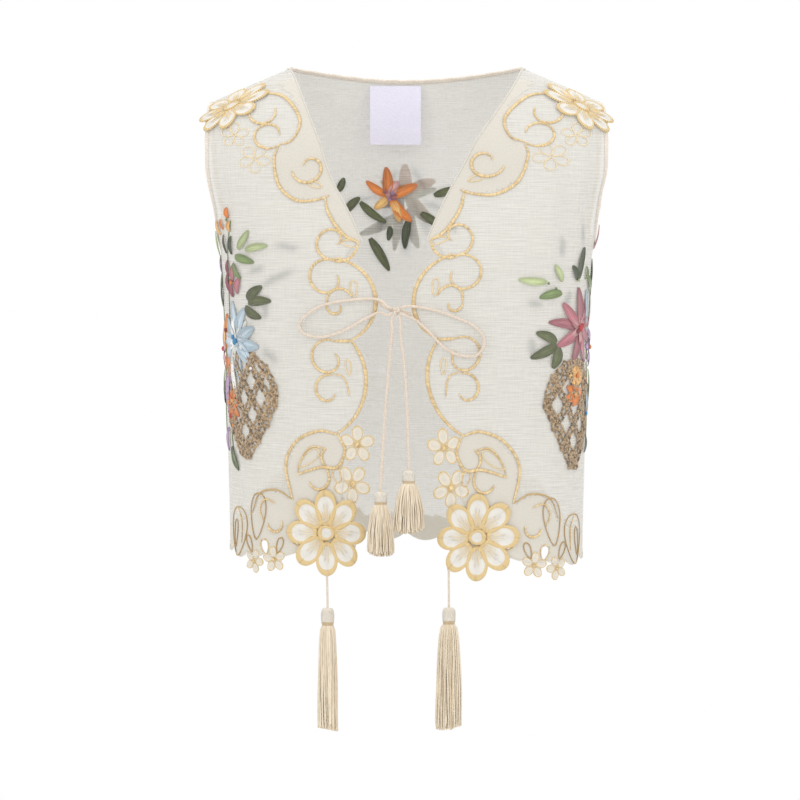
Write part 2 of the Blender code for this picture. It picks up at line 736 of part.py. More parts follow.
def daisy(across, height, radius, turn, around=40):
    """The outline of a big flower."""
    angle = np.linspace(0, 2 * math.pi, around, endpoint=False)
    far = petal_reach(angle, radius, turn)
    return np.stack([across + far * np.cos(angle), height + far * np.sin(angle)], -1)


def make_daisy(name, centre, radius, turn, side, lift, charted):
    """A thick appliqued flower with raised rims over a plain back. The centre is a place on the chart, or,
    with charted, an (across, height) in millimetres."""
    around = 32
    angle = np.linspace(0, 2 * math.pi, around, endpoint=False)
    edge = petal_reach(angle, radius, turn)
    ways = np.stack([np.cos(angle), np.sin(angle) * (1 if charted else -1)], -1)
    shares = ((0.22, 1.7, False), (0.60, 1.1, True), (0.86, 2.1, True), (1.0, 1.5, True))
    chart, out = [centre], [1.5 * MM]
    for share, raised, lobed in shares:
        far = edge * share if lobed else np.full(around, radius * share)
        chart.extend(centre + ways * far[:, None])
        out.extend([raised * MM] * around)
    top = len(chart)
    for share in (1.0, 0.55):
        chart.extend(centre + ways * (edge * share)[:, None])
        out.extend([0.0] * around)
    chart.append(centre)
    out.append(0.0)
    faces = []
    for k in range(around):
        n = (k + 1) % around
        faces.append((0, 1 + k, 1 + n))
        for ring in range(3):
            a, b = 1 + ring * around, 1 + (ring + 1) * around
            faces += [(a + k, b + k, b + n), (a + k, b + n, a + n)]
        last, under, inner = 1 + 3 * around, top, top + around
        faces += [(last + k, under + k, under + n), (last + k, under + n, last + n)]
        faces += [(under + k, inner + k, inner + n), (under + k, inner + n, under + n)]
        faces.append((inner + k, top + 2 * around, inner + n))
    chart = chart_of(chart) if charted else np.array(chart)
    points = place(to_side(chart, side), np.array(out) + lift)
    return solid(name, points, faces, "applique")


def make_daisies():
    hem = np.array(HEM_FLOWER[:2])
    shoulder = np.array([SHOULDER_FLOWER_ACROSS, SHOULDER_FLOWER_DOWN])
    for word, side in (("right", -1), ("left", 1)):
        make_daisy(f"hem_flower_{word}", hem, HEM_FLOWER[2], HEM_FLOWER[3], side, RIDE, True)
        make_daisy(
            f"shoulder_flower_{word}", shoulder, SHOULDER_FLOWER_RADIUS, 10, side, SHOULDER_LIFT, False
        )


def make_ribbon_work():
    stem = ribbon(chart_of(smooth_line(np.array(SIDE_STEM, float), 12)), 0.003)
    petals = [chart_of(petal(*row)) for row in SIDE_RIBBONS]
    for name, side in (("side_ribbons_right", -1), ("side_ribbons_left", 1)):
        wall(name, [to_side(o, side) for o in (stem, *petals)], "ribbon", RIDE, RIDE + RIBBON)
    for word, side in (("right", -1), ("left", 1)):
        bands = lattice_bands(*LATTICES[word])
        wall(f"basket_{word}", [to_side(o, side) for o in bands], "lattice", RIDE, RIDE + RIBBON)
    lily = [from_centre_back(petal(*row)) for row in LILY]
    wall("back_lily", lily, "lily", RIDE, RIDE + RIBBON)


def lattice_bands(middle_across, middle_height, half_width, half_height):
    """Braided bands that cross in diamonds inside a basket's outline, which is a pointed shield."""
    angle = np.linspace(0, 2 * math.pi, 28, endpoint=False)
    taper = 1 - 0.62 * np.clip(-np.sin(angle), 0, 1)
    lengthened = np.where(np.sin(angle) > 0, 0.85, 1.15)
    rim = np.stack([
        middle_across + half_width * np.cos(angle) * taper,
        middle_height + half_height * lengthened * np.sin(angle),
    ], -1)
    width = LATTICE_BAND * MM
    halves = [rim[0:15], np.concatenate([rim[14:], rim[:1]])]
    bands = [ribbon(chart_of(half), width) for half in halves]
    middle = np.array([middle_across, middle_height])
    reaches = np.linspace(-80, 80, 161)[:, None]
    for slope in (1, -1):
        direction = np.array([math.cos(LATTICE_TURN), slope * math.sin(LATTICE_TURN)])
        aside = np.array([-direction[1], direction[0]])
        for k in range(LATTICE_ROWS):
            offset = (k - (LATTICE_ROWS - 1) / 2) * LATTICE_PITCH
            line = middle + aside * offset + reaches * direction
            line = line[inside(line, rim)]
            steps = max(3, round(len(line) / 24))
            picked = line[np.linspace(0, len(line) - 1, steps).astype(int)]
            bands.append(ribbon(chart_of(picked), width * 0.9))
    return bands


# The tie and the tassels


def front_point(sideways, height, out):
    """A point in front of the cloth, at a sideways place and a height seen from the front."""
    table = np.linspace(-SIDE_SEAM, SIDE_SEAM, 801)
    down = down_at(table, np.full(801, height))
    across = float(np.interp(sideways, skin(table, down)[:, 0], table))
    return place([(across, float(down_at(np.array([across]), np.array([height]))[0]))], [out])[0]


def make_tube(name, route, diameter, step):
    """A cord as a POLY curve with filled ends, read from a smooth curve through the route's points."""
    line = smooth_line(np.array(route), step)
    curve = bpy.data.curves.new(name, "CURVE")
    curve.dimensions = "3D"
    curve.bevel_depth = diameter / 2
    curve.bevel_resolution = 2
    curve.use_fill_caps = True
    spline = curve.splines.new("POLY")
    spline.points.add(len(line) - 1)
    for point, where in zip(spline.points, line, strict=True):
        point.co = (*where, 1)
    curve.materials.append(material("cord"))
    made = bpy.data.objects.new(name, curve)
    bpy.context.scene.collection.objects.link(made)
    return made


def make_tie():
    knot = front_point(KNOT[0] * MM, KNOT[1] * MM, KNOT_OUT)
    bpy.ops.mesh.primitive_uv_sphere_add(segments=10, ring_count=6, radius=KNOT_RADIUS, location=knot)
    ball = bpy.context.object
    ball.name = "tie_knot"
    ball.data.name = "tie_knot"
    ball.data.materials.append(material("cord"))
    ball.data.shade_smooth()

    def leave(x, y, z):
        """A tube's end just off the knot, and a point straight beyond it."""
        way = np.array([x, y, z]) / math.hypot(x, y, z)
        return knot + way * (KNOT_RADIUS + KNOT_GAP), knot + way * (KNOT_RADIUS + KNOT_GAP + 0.004)

    step = 3 * TIE_DIAMETER
    lie = RIDE + CORDING + TIE_CLEARANCE + TIE_DIAMETER / 2
    rest = TIE_CLEARANCE + TIE_DIAMETER / 2
    for word, side, (x, z) in (("right", -1, TIE_ENDS[0]), ("left", 1, TIE_ENDS[1])):
        at_knot, near_knot = leave(0.75 * side, 0.66, 0)
        sewn = front_point(x * MM, z * MM, rest)
        make_tube(f"tie_end_{word}", [sewn, (sewn + near_knot) / 2, at_knot], TIE_DIAMETER, 0.004)
    for word, side, route in (("right", -1, RIGHT_LOOP), ("left", 1, LEFT_LOOP)):
        first, second = leave(0.9 * side, -0.2, 0.45)
        last, before = leave(0.9 * side, -0.2, -0.45)
        laid = [front_point(x * MM, z * MM, lie) for x, z in route]
        make_tube(f"bow_loop_{word}", [first, second, *laid, before, last], TIE_DIAMETER, step)
    for word, side, route in (("right", -1, RIGHT_TAIL), ("left", 1, LEFT_TAIL)):
        first, second = leave(0.42 * side, -0.1, -0.9)
        hung = [(x * MM, TAIL_DEPTH, z * MM) for x, z in route]
        make_tube(f"tie_tail_{word}", [first, second, *hung], TIE_DIAMETER, step)


def petal_tip(turn, side):
    """The middle of the thickness at the tip of one of the hem flower's petals."""
    angle = math.radians(turn)
    tip = np.array(HEM_FLOWER[:2]) + HEM_FLOWER[2] * np.array([math.cos(angle), math.sin(angle)])
    return place(to_side(chart_of([tip]), side), [RIDE + 0.0008])[0]


def make_tassel(name, x, y, top, head_radius, head_height, skirt_radius, length, flatness):
    """A bound head with a skirt of strands that stand apart below their roots."""
    shape = bmesh.new()
    profile = ((0.0, 0.45), (0.08, 0.88), (0.35, 1.0), (0.72, 0.96), (0.84, 0.86), (1.0, 0.94))
    sides = 12

    def ring(radius, height, count=sides, turn=0.0):
        return [
            shape.verts.new((radius * math.cos(a), radius * math.sin(a), height))
            for a in (2 * math.pi * k / count + turn for k in range(count))
        ]

    rings = [ring(head_radius * wide, -head_height * level) for level, wide in profile]
    shape.faces.new(rings[0])
    for upper, lower in zip(rings, rings[1:]):
        for k in range(sides):
            n = (k + 1) % sides
            shape.faces.new((upper[n], upper[k], lower[k], lower[n]))
    outer = rings[-1]
    inner = ring(head_radius * 0.46, -head_height, sides // 2, math.pi / 12)
    middle = shape.verts.new((0, 0, -head_height))
    roots = []
    for k in range(sides // 2):
        n = (k + 1) % (sides // 2)
        a, b, c = outer[2 * k], outer[2 * k + 1], outer[(2 * k + 2) % sides]
        roots.append(shape.faces.new((b, a, inner[k])))
        roots.append(shape.faces.new((c, b, inner[k])))
        roots.append(shape.faces.new((c, inner[k], inner[n])))
        roots.append(shape.faces.new((middle, inner[n], inner[k])))
    shape.normal_update()
    bmesh.ops.inset_individual(shape, faces=roots, thickness=0.00022)
    spread = skirt_radius / (head_radius * 0.94)
    for index, root in enumerate(roots):
        verts = list(root.verts)
        origin = np.array(root.calc_center_median())
        base = [np.array(v.co) for v in verts]
        face = root
        uneven = 1 - 0.035 * math.sin(2.4 * index)
        for level, open_up, fat in ((0.45, 0.82, 1.35), (1.0, 1.0, 1.6)):
            pulled = bmesh.ops.extrude_discrete_faces(shape, faces=[face])["faces"][0]
            scale = 1 + (spread - 1) * open_up
            height = -head_height - (length - head_height) * level * uneven
            for vert, start in zip(pulled.verts, base, strict=True):
                flat = origin[:2] * scale + (start[:2] - origin[:2]) * fat
                vert.co = (*flat, height)
            face = pulled
    for vert in shape.verts:
        vert.co.y *= flatness
        vert.co += Vector((x, y, top))
    bmesh.ops.recalc_face_normals(shape, faces=shape.faces[:])
    mesh = bpy.data.meshes.new(name)
    shape.to_mesh(mesh)
    shape.free()
    mesh.materials.append(material("tassel"))
    made = bpy.data.objects.new(name, mesh)
    bpy.context.scene.collection.objects.link(made)
    return made


def make_tassels():
    for name, sideways, head_radius, head_height, skirt_radius, length, flatness, turn, drop in TASSELS:
        side = -1 if name.endswith("right") else 1
        sizes = (head_radius * MM, head_height * MM, skirt_radius * MM, length * MM, flatness)
        if name.startswith("tie"):
            route = RIGHT_TAIL if side < 0 else LEFT_TAIL
            x, y, top = route[-1][0] * MM, TAIL_DEPTH, route[-1][1] * MM - SEAM
        else:
            tip = petal_tip(turn, side)
            x, y = sideways * MM, tip[1]
            top = tip[2] - HEM_CORD_LENGTHS[name.split("_")[-1]]
            start = tip - (0, 0, drop)
            end = np.array([x, y, top + SEAM])
            cord = name.replace("tassel", "cord")
            make_tube(cord, [start, (start + end) / 2, end], HEM_CORD_DIAMETER, 0.005)
        make_tassel(name, x, y, top, *sizes)


def build():
    clear_scene()
    make_panels()
    make_armhole_bindings()
    make_neck_binding()
    make_label()
    make_cording()
    make_daisies()
    make_ribbon_work()
    make_tie()
    make_tassels()


build()
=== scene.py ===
# %% [markdown]
# # An embroidered open-front waistcoat
#
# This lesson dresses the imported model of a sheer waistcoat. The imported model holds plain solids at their
# true size. Each one is replaced here by the cloth, cord, ribbon or thread that it stands for, made in
# the same place. All sizes are in metres, +Z is up, the fronts face -Y and the wearer's right is at -X.

import json
import math

import bmesh
import bpy
import numpy as np
from mathutils import Vector
from mathutils.geometry import delaunay_2d_cdt
from mathutils.kdtree import KDTree
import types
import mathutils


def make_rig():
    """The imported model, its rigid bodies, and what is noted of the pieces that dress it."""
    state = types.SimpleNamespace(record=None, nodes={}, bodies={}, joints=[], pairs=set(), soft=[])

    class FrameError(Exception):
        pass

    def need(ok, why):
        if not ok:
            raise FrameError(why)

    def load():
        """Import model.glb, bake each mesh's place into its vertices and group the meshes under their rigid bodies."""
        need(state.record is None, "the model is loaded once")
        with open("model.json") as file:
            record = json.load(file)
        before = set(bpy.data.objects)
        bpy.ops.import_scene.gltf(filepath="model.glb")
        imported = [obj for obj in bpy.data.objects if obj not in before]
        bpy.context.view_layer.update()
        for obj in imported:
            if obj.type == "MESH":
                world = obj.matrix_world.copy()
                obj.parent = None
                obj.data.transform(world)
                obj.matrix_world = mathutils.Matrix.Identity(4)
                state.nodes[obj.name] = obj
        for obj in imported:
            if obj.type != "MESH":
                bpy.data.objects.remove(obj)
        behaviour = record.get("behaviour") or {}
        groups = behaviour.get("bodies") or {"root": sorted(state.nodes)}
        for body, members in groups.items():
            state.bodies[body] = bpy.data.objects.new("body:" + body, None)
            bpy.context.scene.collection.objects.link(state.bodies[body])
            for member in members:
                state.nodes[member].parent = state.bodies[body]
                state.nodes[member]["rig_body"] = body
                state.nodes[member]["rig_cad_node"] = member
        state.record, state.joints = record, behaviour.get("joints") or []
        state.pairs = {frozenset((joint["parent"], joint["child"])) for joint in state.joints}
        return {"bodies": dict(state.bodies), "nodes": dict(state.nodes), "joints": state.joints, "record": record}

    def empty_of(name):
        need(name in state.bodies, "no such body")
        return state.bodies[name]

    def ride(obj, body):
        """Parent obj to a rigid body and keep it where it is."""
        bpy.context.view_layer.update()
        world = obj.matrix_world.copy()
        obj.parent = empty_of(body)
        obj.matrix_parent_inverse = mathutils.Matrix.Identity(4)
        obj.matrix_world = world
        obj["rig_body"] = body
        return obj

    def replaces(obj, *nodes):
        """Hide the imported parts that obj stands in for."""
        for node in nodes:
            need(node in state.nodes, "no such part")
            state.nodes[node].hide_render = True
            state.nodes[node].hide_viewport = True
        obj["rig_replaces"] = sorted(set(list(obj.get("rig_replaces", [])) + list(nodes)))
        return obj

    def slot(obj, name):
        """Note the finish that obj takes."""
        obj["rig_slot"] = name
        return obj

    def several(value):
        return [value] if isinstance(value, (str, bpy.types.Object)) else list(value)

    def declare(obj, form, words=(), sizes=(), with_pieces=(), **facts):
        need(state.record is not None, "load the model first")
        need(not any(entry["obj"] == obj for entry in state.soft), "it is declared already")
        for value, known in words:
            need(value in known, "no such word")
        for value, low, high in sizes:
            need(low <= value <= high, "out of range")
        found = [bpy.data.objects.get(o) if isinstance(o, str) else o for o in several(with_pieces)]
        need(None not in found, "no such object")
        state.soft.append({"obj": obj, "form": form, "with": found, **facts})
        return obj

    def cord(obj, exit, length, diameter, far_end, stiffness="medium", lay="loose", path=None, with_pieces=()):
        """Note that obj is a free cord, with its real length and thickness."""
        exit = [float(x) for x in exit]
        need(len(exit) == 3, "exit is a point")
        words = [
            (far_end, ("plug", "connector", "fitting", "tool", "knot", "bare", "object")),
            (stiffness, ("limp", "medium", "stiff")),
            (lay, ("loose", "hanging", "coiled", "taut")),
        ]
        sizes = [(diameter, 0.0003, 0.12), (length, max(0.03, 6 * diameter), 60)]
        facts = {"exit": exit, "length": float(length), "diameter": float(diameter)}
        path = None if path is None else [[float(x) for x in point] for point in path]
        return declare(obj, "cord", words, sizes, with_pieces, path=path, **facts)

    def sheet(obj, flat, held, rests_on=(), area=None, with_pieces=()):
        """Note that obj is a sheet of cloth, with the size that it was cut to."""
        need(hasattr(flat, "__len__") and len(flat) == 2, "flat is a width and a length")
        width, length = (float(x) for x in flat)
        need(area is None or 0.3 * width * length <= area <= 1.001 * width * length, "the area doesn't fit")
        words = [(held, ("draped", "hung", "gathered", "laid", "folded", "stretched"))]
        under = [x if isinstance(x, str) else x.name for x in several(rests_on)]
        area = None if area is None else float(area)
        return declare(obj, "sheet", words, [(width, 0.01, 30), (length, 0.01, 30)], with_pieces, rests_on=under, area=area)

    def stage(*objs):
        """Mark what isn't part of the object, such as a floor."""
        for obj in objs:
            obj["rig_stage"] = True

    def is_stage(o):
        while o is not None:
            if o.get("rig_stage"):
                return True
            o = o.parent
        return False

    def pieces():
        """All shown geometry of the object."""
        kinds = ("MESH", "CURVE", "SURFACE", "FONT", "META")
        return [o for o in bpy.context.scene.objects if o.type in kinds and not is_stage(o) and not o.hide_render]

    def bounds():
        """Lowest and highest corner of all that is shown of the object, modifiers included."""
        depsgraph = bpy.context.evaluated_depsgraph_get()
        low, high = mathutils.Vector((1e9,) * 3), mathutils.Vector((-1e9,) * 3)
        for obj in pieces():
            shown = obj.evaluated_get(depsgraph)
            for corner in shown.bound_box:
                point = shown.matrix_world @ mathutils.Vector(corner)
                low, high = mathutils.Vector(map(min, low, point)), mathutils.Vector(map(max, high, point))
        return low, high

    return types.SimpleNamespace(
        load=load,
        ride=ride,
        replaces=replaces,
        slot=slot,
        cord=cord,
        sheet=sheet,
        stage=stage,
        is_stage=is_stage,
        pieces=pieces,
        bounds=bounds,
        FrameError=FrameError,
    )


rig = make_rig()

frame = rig.load()
cad_box = [list(corner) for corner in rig.bounds()]
MM = 0.001
RIGHT, LEFT = -1, 1
SIDES = (("right", RIGHT), ("left", LEFT))
print("nodes in the model:", len(frame["nodes"]))

# %% [markdown]
# ## The camera
#
# The photograph was taken from about two and a half metres, level with the bust, with a long lens. A long
# lens keeps the back neck and the front hem at nearly the same scale, so the camera stands far off too.
# It looks down a little instead of using lens shift, because a shift would stay in every other view.

# %% Place the camera
CAMERA_PLACE = Vector((-0.006, -2.6, -0.15))
CAMERA_AIM = Vector((-0.006, 0.0, -0.2951))

camera_data = bpy.data.cameras.new("camera")
camera_data.lens = 124.5
camera_data.sensor_width = 36
camera = bpy.data.objects.new("camera", camera_data)
camera.location = CAMERA_PLACE
camera.rotation_euler = (CAMERA_AIM - CAMERA_PLACE).to_track_quat("-Z", "Y").to_euler()
bpy.context.scene.collection.objects.link(camera)
bpy.context.scene.camera = camera
print("camera to cloth:", round(-CAMERA_PLACE.y - 0.1, 2), "m")

# %% [markdown]
# ## The skin that all the cloth lies on
#
# The body of the waistcoat is one smooth surface, so it is written as a function. A place on it is
# (across, down): across runs round the body from the centre front, and down runs from the shoulder seam
# to the hem. Every panel, stitch and ribbon below is drawn in those two numbers and then carried onto the
# surface. That keeps each piece on the cloth however the cloth bends. The tables give heights in
# millimetres instead of down, because a height is what a tape measure reads.

# %% Sizes of the body
NECK_HALF = 0.111
NECK_HEIGHT = 0.015
BACK_NECK_DIP = 0.0095
SHOULDER_SLOPE = 0.46
SHOULDER_SOFTNESS = 0.040
SHOULDER_ROUND = 0.100
SQUARENESS = 2.6
WAIST_HEIGHT = -0.22
LEFT_DROP = 0.008
ARMHOLE_MIDDLE, ARMHOLE_HALF_HEIGHT = -0.0835, 0.0685
ARMHOLE_FORWARD, ARMHOLE_BACKWARD = 0.047, 0.051
WALL = 0.0014
SEAM = 0.0003

# Columns: height, half width, front depth, back depth
SECTIONS = (
    (70, 213, 86, 94),
    (15, 212, 88, 97),
    (-17, 211, 91, 100),
    (-50, 204, 94, 103),
    (-84, 196, 98, 105),
    (-120, 182, 104, 106),
    (-151, 174.5, 108, 105),
    (-205, 170.5, 107, 102),
    (-300, 168.5, 101, 99),
    (-385, 166.5, 97, 98),
    (-470, 165, 95, 98),
)

# Soft folds, with columns: across, height, half width, half length, depth (inwards)
FOLDS = (
    (190, -205, 9, 62, 2.2),
    (150, -118, 10, 52, 1.8),
    (-186, -225, 10, 60, 1.8),
    (-132, -330, 14, 70, 1.4),
    (128, -345, 13, 66, 1.6),
    (300, -250, 14, 90, 2.4),
    (-310, -270, 15, 85, 2.2),
    (372, -330, 16, 70, 1.8),
    (-385, -310, 16, 80, 2.0),
)

# Finer creases that only the scene has, same columns. A negative depth is a ridge.
CREASES = (
    (172, -105, 3.6, 48, 1.3),
    (180, -112, 3.4, 40, -1.0),
    (187, -120, 3.2, 34, 1.1),
    (160, -92, 4.2, 36, -0.8),
    (142, -150, 6.0, 42, 0.7),
    (104, -215, 7.0, 50, 0.7),
    (120, -268, 8.0, 45, -0.7),
    (98, -330, 8.0, 48, 0.8),
    (-168, -100, 4.0, 44, 1.0),
    (-178, -112, 3.6, 38, -0.8),
    (-150, -132, 5.0, 40, 0.8),
    (-110, -225, 7.5, 52, -0.7),
    (-124, -285, 7.5, 46, 0.8),
    (-98, -352, 8.0, 40, -0.6),
    (262, -140, 5.0, 50, 1.0),
    (276, -160, 6.0, 58, -0.9),
    (335, -180, 8.0, 66, 0.9),
    (402, -240, 9.0, 70, -0.8),
    (430, -330, 8.0, 62, 0.8),
    (-268, -150, 5.0, 54, 1.0),
    (-284, -175, 6.5, 60, -0.9),
    (-345, -210, 8.0, 64, 0.8),
    (-412, -260, 9.0, 66, 0.8),
    (-438, -350, 8.0, 58, -0.7),
)
DENTS = np.array(FOLDS + CREASES) * MM
print("folds and creases:", len(DENTS))


# %% The surface as a function
def column(height, index):
    """A column of SECTIONS at any height, joined smoothly from row to row."""
    rows = np.array(SECTIONS[::-1], float) * MM
    known, values = rows[:, 0], rows[:, index]
    slopes = np.gradient(values, known)
    height = np.clip(height, known[0], known[-1])
    i = np.clip(np.searchsorted(known, height) - 1, 0, len(known) - 2)
    gap = known[i + 1] - known[i]
    t = (height - known[i]) / gap
    return (
        (2 * t**3 - 3 * t**2 + 1) * values[i]
        + (t**3 - 2 * t**2 + t) * gap * slopes[i]
        + (3 * t**2 - 2 * t**3) * values[i + 1]
        + (t**3 - t**2) * gap * slopes[i + 1]
    )


def reach(angle, height):
    """Distance from the middle of the body to its skin, at an angle from the centre front."""
    wide = np.abs(np.sin(angle)) / column(height, 1)
    deep = np.abs(np.cos(angle)) / np.where(np.cos(angle) > 0, column(height, 2), column(height, 3))
    return (wide**SQUARENESS + deep**SQUARENESS) ** (-1 / SQUARENESS)


ANGLES = np.linspace(0, math.pi, 721)
waist = reach(ANGLES, np.full(len(ANGLES), WAIST_HEIGHT))
waist_steps = np.hypot(np.diff(waist * np.sin(ANGLES)), np.diff(waist * np.cos(ANGLES)))
LENGTHS = np.concatenate([[0], np.cumsum(waist_steps)])
HALF_GIRTH = float(LENGTHS[-1])
SIDE_SEAM = float(np.interp(math.pi / 2, ANGLES, LENGTHS))
TURN_OVER = SHOULDER_ROUND * math.pi / 2


def shoulder_height(angle):
    """Height of the shoulder line above each angle."""
    sideways = np.abs(reach(angle, np.full(np.shape(angle), 0.0)) * np.sin(angle))
    soft = np.hypot(sideways, SHOULDER_SOFTNESS) - math.hypot(NECK_HALF, SHOULDER_SOFTNESS)
    return NECK_HEIGHT - SHOULDER_SLOPE * soft


def ease(low, high, value):
    """0 at low and 1 at high, with a soft start and end."""
    t = np.clip((value - low) / (high - low), 0, 1)
    return t * t * (3 - 2 * t)


def wrapped(across):
    """The same place across, counted from the centre front the short way round."""
    return (np.asarray(across, float) + HALF_GIRTH) % (2 * HALF_GIRTH) - HALF_GIRTH


def skin(across, down):
    """Points on the outer face of the cloth."""
    across, down = wrapped(across), np.asarray(down, float)
    angle = np.sign(across) * np.interp(np.abs(across), LENGTHS, ANGLES)
    turn = np.clip(down / SHOULDER_ROUND, -math.pi / 2, math.pi / 2)
    fall = SHOULDER_ROUND * (1 - np.cos(turn)) + np.maximum(down - TURN_OVER, 0)
    height = shoulder_height(angle) - fall
    far = reach(angle, height)
    for dent_across, level, half_width, half_length, depth in DENTS:
        sideways, up = (across - dent_across) / half_width, (height - level) / half_length
        far = far - depth * np.exp(-(sideways**2) - up**2)
    at_front = ease(-0.027, 0.004, across)
    at_back = ease(HALF_GIRTH, HALF_GIRTH - 0.1, np.abs(across))
    lowered = np.where(np.abs(across) < SIDE_SEAM, at_front, 0.5 + np.sign(across) * 0.5 * at_back)
    height = height - LEFT_DROP * lowered * np.clip(-height / 0.44, 0, 1.1)
    return np.stack([far * np.sin(angle), -far * np.cos(angle) * np.sin(turn), height], -1)


def outward(across, down):
    """Unit normals of the skin, pointing away from the body."""
    step = 0.0004
    along = skin(across + step, down) - skin(across - step, down)
    fall = skin(across, down + step) - skin(across, down - step)
    normal = np.cross(fall, along)
    return normal / np.linalg.norm(normal, axis=-1, keepdims=True)


def place(chart, out):
    """Points at a distance out from the outer face of the cloth."""
    across, down = np.asarray(chart, float).T
    return skin(across, down) + outward(across, down) * np.reshape(out, (-1, 1))


def down_at(across, height):
    """How far down the skin a height lies, above each place across."""
    fall = shoulder_height(np.interp(np.abs(wrapped(across)), LENGTHS, ANGLES)) - height
    turned = SHOULDER_ROUND * np.arccos(np.clip(1 - fall / SHOULDER_ROUND, -1, 1))
    return np.where(fall < SHOULDER_ROUND, turned, TURN_OVER + fall - SHOULDER_ROUND)


def chart_of(points):
    """(across, height) in millimetres to (across, down) in metres."""
    points = np.asarray(points, float) * MM
    return np.stack([points[:, 0], down_at(points[:, 0], points[:, 1])], -1)


print("half the girth of the waist:", round(HALF_GIRTH, 4), "m")

# %% [markdown]
# ## Right, left and back
#
# Nearly everything is a mirrored pair, so it is drawn once, for the wearer's right, and then put on
# either side. The left front hangs a little further over and lower, which to_side adds. The back is drawn
# from the centre back outwards.


# %% Put a drawing on a side
def left_shift(down):
    """How far the left front's edge lies towards the wearer's right of a true mirror image."""
    return -0.0215 * ease(0.05, 0.20, down) + 0.0115 * ease(0.33, 0.46, down)


def to_side(chart, side):
    """A chart drawn for the wearer's right, with across positive, on the side asked for."""
    chart = np.array(chart, float)
    if side == LEFT:
        fade = ease(SIDE_SEAM - 0.03, 0.07, chart[:, 0])
        return np.stack([chart[:, 0] + left_shift(chart[:, 1]) * fade, chart[:, 1]], -1)
    return chart * (-1, 1)


def on_front(side):
    """A function that carries (across, height) in millimetres onto one front."""
    return lambda points: to_side(chart_of(points), side)


def from_centre_back(points):
    """(across from the centre back, height) in millimetres to the chart."""
    points = np.asarray(points, float)
    return chart_of(np.stack([HALF_GIRTH / MM - points[:, 0], points[:, 1]], -1))


def on_back(side):
    """A function that carries (across from the centre back, height) onto half of the back."""
    if side == LEFT:
        return from_centre_back
    return lambda points: from_centre_back(points) * (-1, 1) + (2 * HALF_GIRTH, 0)


# %% [markdown]
# ## Lines
#
# An embroiderer draws with arcs and flowing curves. An arc gives the scallops, and a Catmull-Rom curve
# passes through every point that it is given, which suits a scroll.


# %% Arcs and smooth lines
def arc(start, end, bulge, step=2.6):
    """Points from start up to, not with, end, on an arc that swells to the right of the way it goes."""
    start, end = np.array(start, float), np.array(end, float)
    chord = end - start
    length = np.linalg.norm(chord)
    count = max(1, round((length + 2 * abs(bulge)) / step))
    t = np.arange(count) / count
    if abs(bulge) < 0.1:
        return start + t[:, None] * chord
    right = np.array([chord[1], -chord[0]]) / length
    radius = (length**2 / 4 + bulge**2) / (2 * abs(bulge))
    half = 2 * math.atan2(2 * abs(bulge), length)
    swing = half * (2 * t - 1)
    along = radius * np.sin(swing) + length / 2
    out = (np.cos(swing) - math.cos(half)) * radius * math.copysign(1, bulge)
    return start + along[:, None] * chord / length + out[:, None] * right


def chain(rows, last):
    """The points of arcs through rows of (across, height, bulge), ending at the point last."""
    ends = [row[:2] for row in rows[1:]] + [last]
    return np.concatenate([arc(row[:2], end, row[2]) for row, end in zip(rows, ends, strict=True)])


def smooth_line(points, step):
    """A Catmull-Rom curve through the points, cut into even steps."""
    points = np.asarray(points, float)
    padded = np.concatenate([[2 * points[0] - points[1]], points, [2 * points[-1] - points[-2]]])
    t = np.linspace(0, 1, 12, endpoint=False)[:, None]
    runs = [
        0.5 * (2 * b + (c - a) * t + (2 * a - 5 * b + 4 * c - d) * t**2 + (3 * b - a - 3 * c + d) * t**3)
        for a, b, c, d in zip(padded, padded[1:], padded[2:], padded[3:])
    ]
    fine = np.concatenate([*runs, points[-1:]])
    lengths = np.concatenate([[0], np.cumsum(np.linalg.norm(np.diff(fine, axis=0), axis=1))])
    wanted = np.linspace(0, lengths[-1], max(2, round(lengths[-1] / step) + 1))
    return np.stack([np.interp(wanted, lengths, fine[:, k]) for k in range(points.shape[1])], -1)


def unit(vectors):
    return vectors / np.linalg.norm(vectors, axis=-1, keepdims=True)


def course(chart, out):
    """Along a line on the chart: points, the way it goes, the outward normals, and the way to its side."""
    points = place(chart, np.broadcast_to(out, len(chart)))
    way = unit(np.gradient(points, axis=0))
    normals = outward(*chart.T)
    return points, way, normals, unit(np.cross(normals, way))


def length_of(points):
    return float(np.linalg.norm(np.diff(points, axis=0), axis=1).sum())


# %% [markdown]
# ## Meshes from arrays
#
# A mesh is points and faces. This helper also stores the piece's own UV map, measured in metres on the
# cloth, and any named numbers or colours that its finish reads. Every piece is a closed shell, so the
# faces can be turned to point outwards. Bands, cords and ribbons share two face lists: a tube, and a
# sheet with a thickness.


# %% A mesh with a UV map and named values
def store_values(mesh, values):
    """Named numbers, or colours where there are three to a point."""
    for title, data in (values or {}).items():
        data = np.asarray(data, np.float32)
        if data.ndim == 1:
            mesh.attributes.new(title, "FLOAT", "POINT").data.foreach_set("value", data)
        else:
            colours = np.concatenate([data, np.ones((len(data), 1), np.float32)], 1)
            mesh.attributes.new(title, "FLOAT_COLOR", "POINT").data.foreach_set("color", colours.ravel())


def put_in_scene(name, content):
    holder = bpy.data.objects.new(name, content)
    bpy.context.scene.collection.objects.link(holder)
    return holder


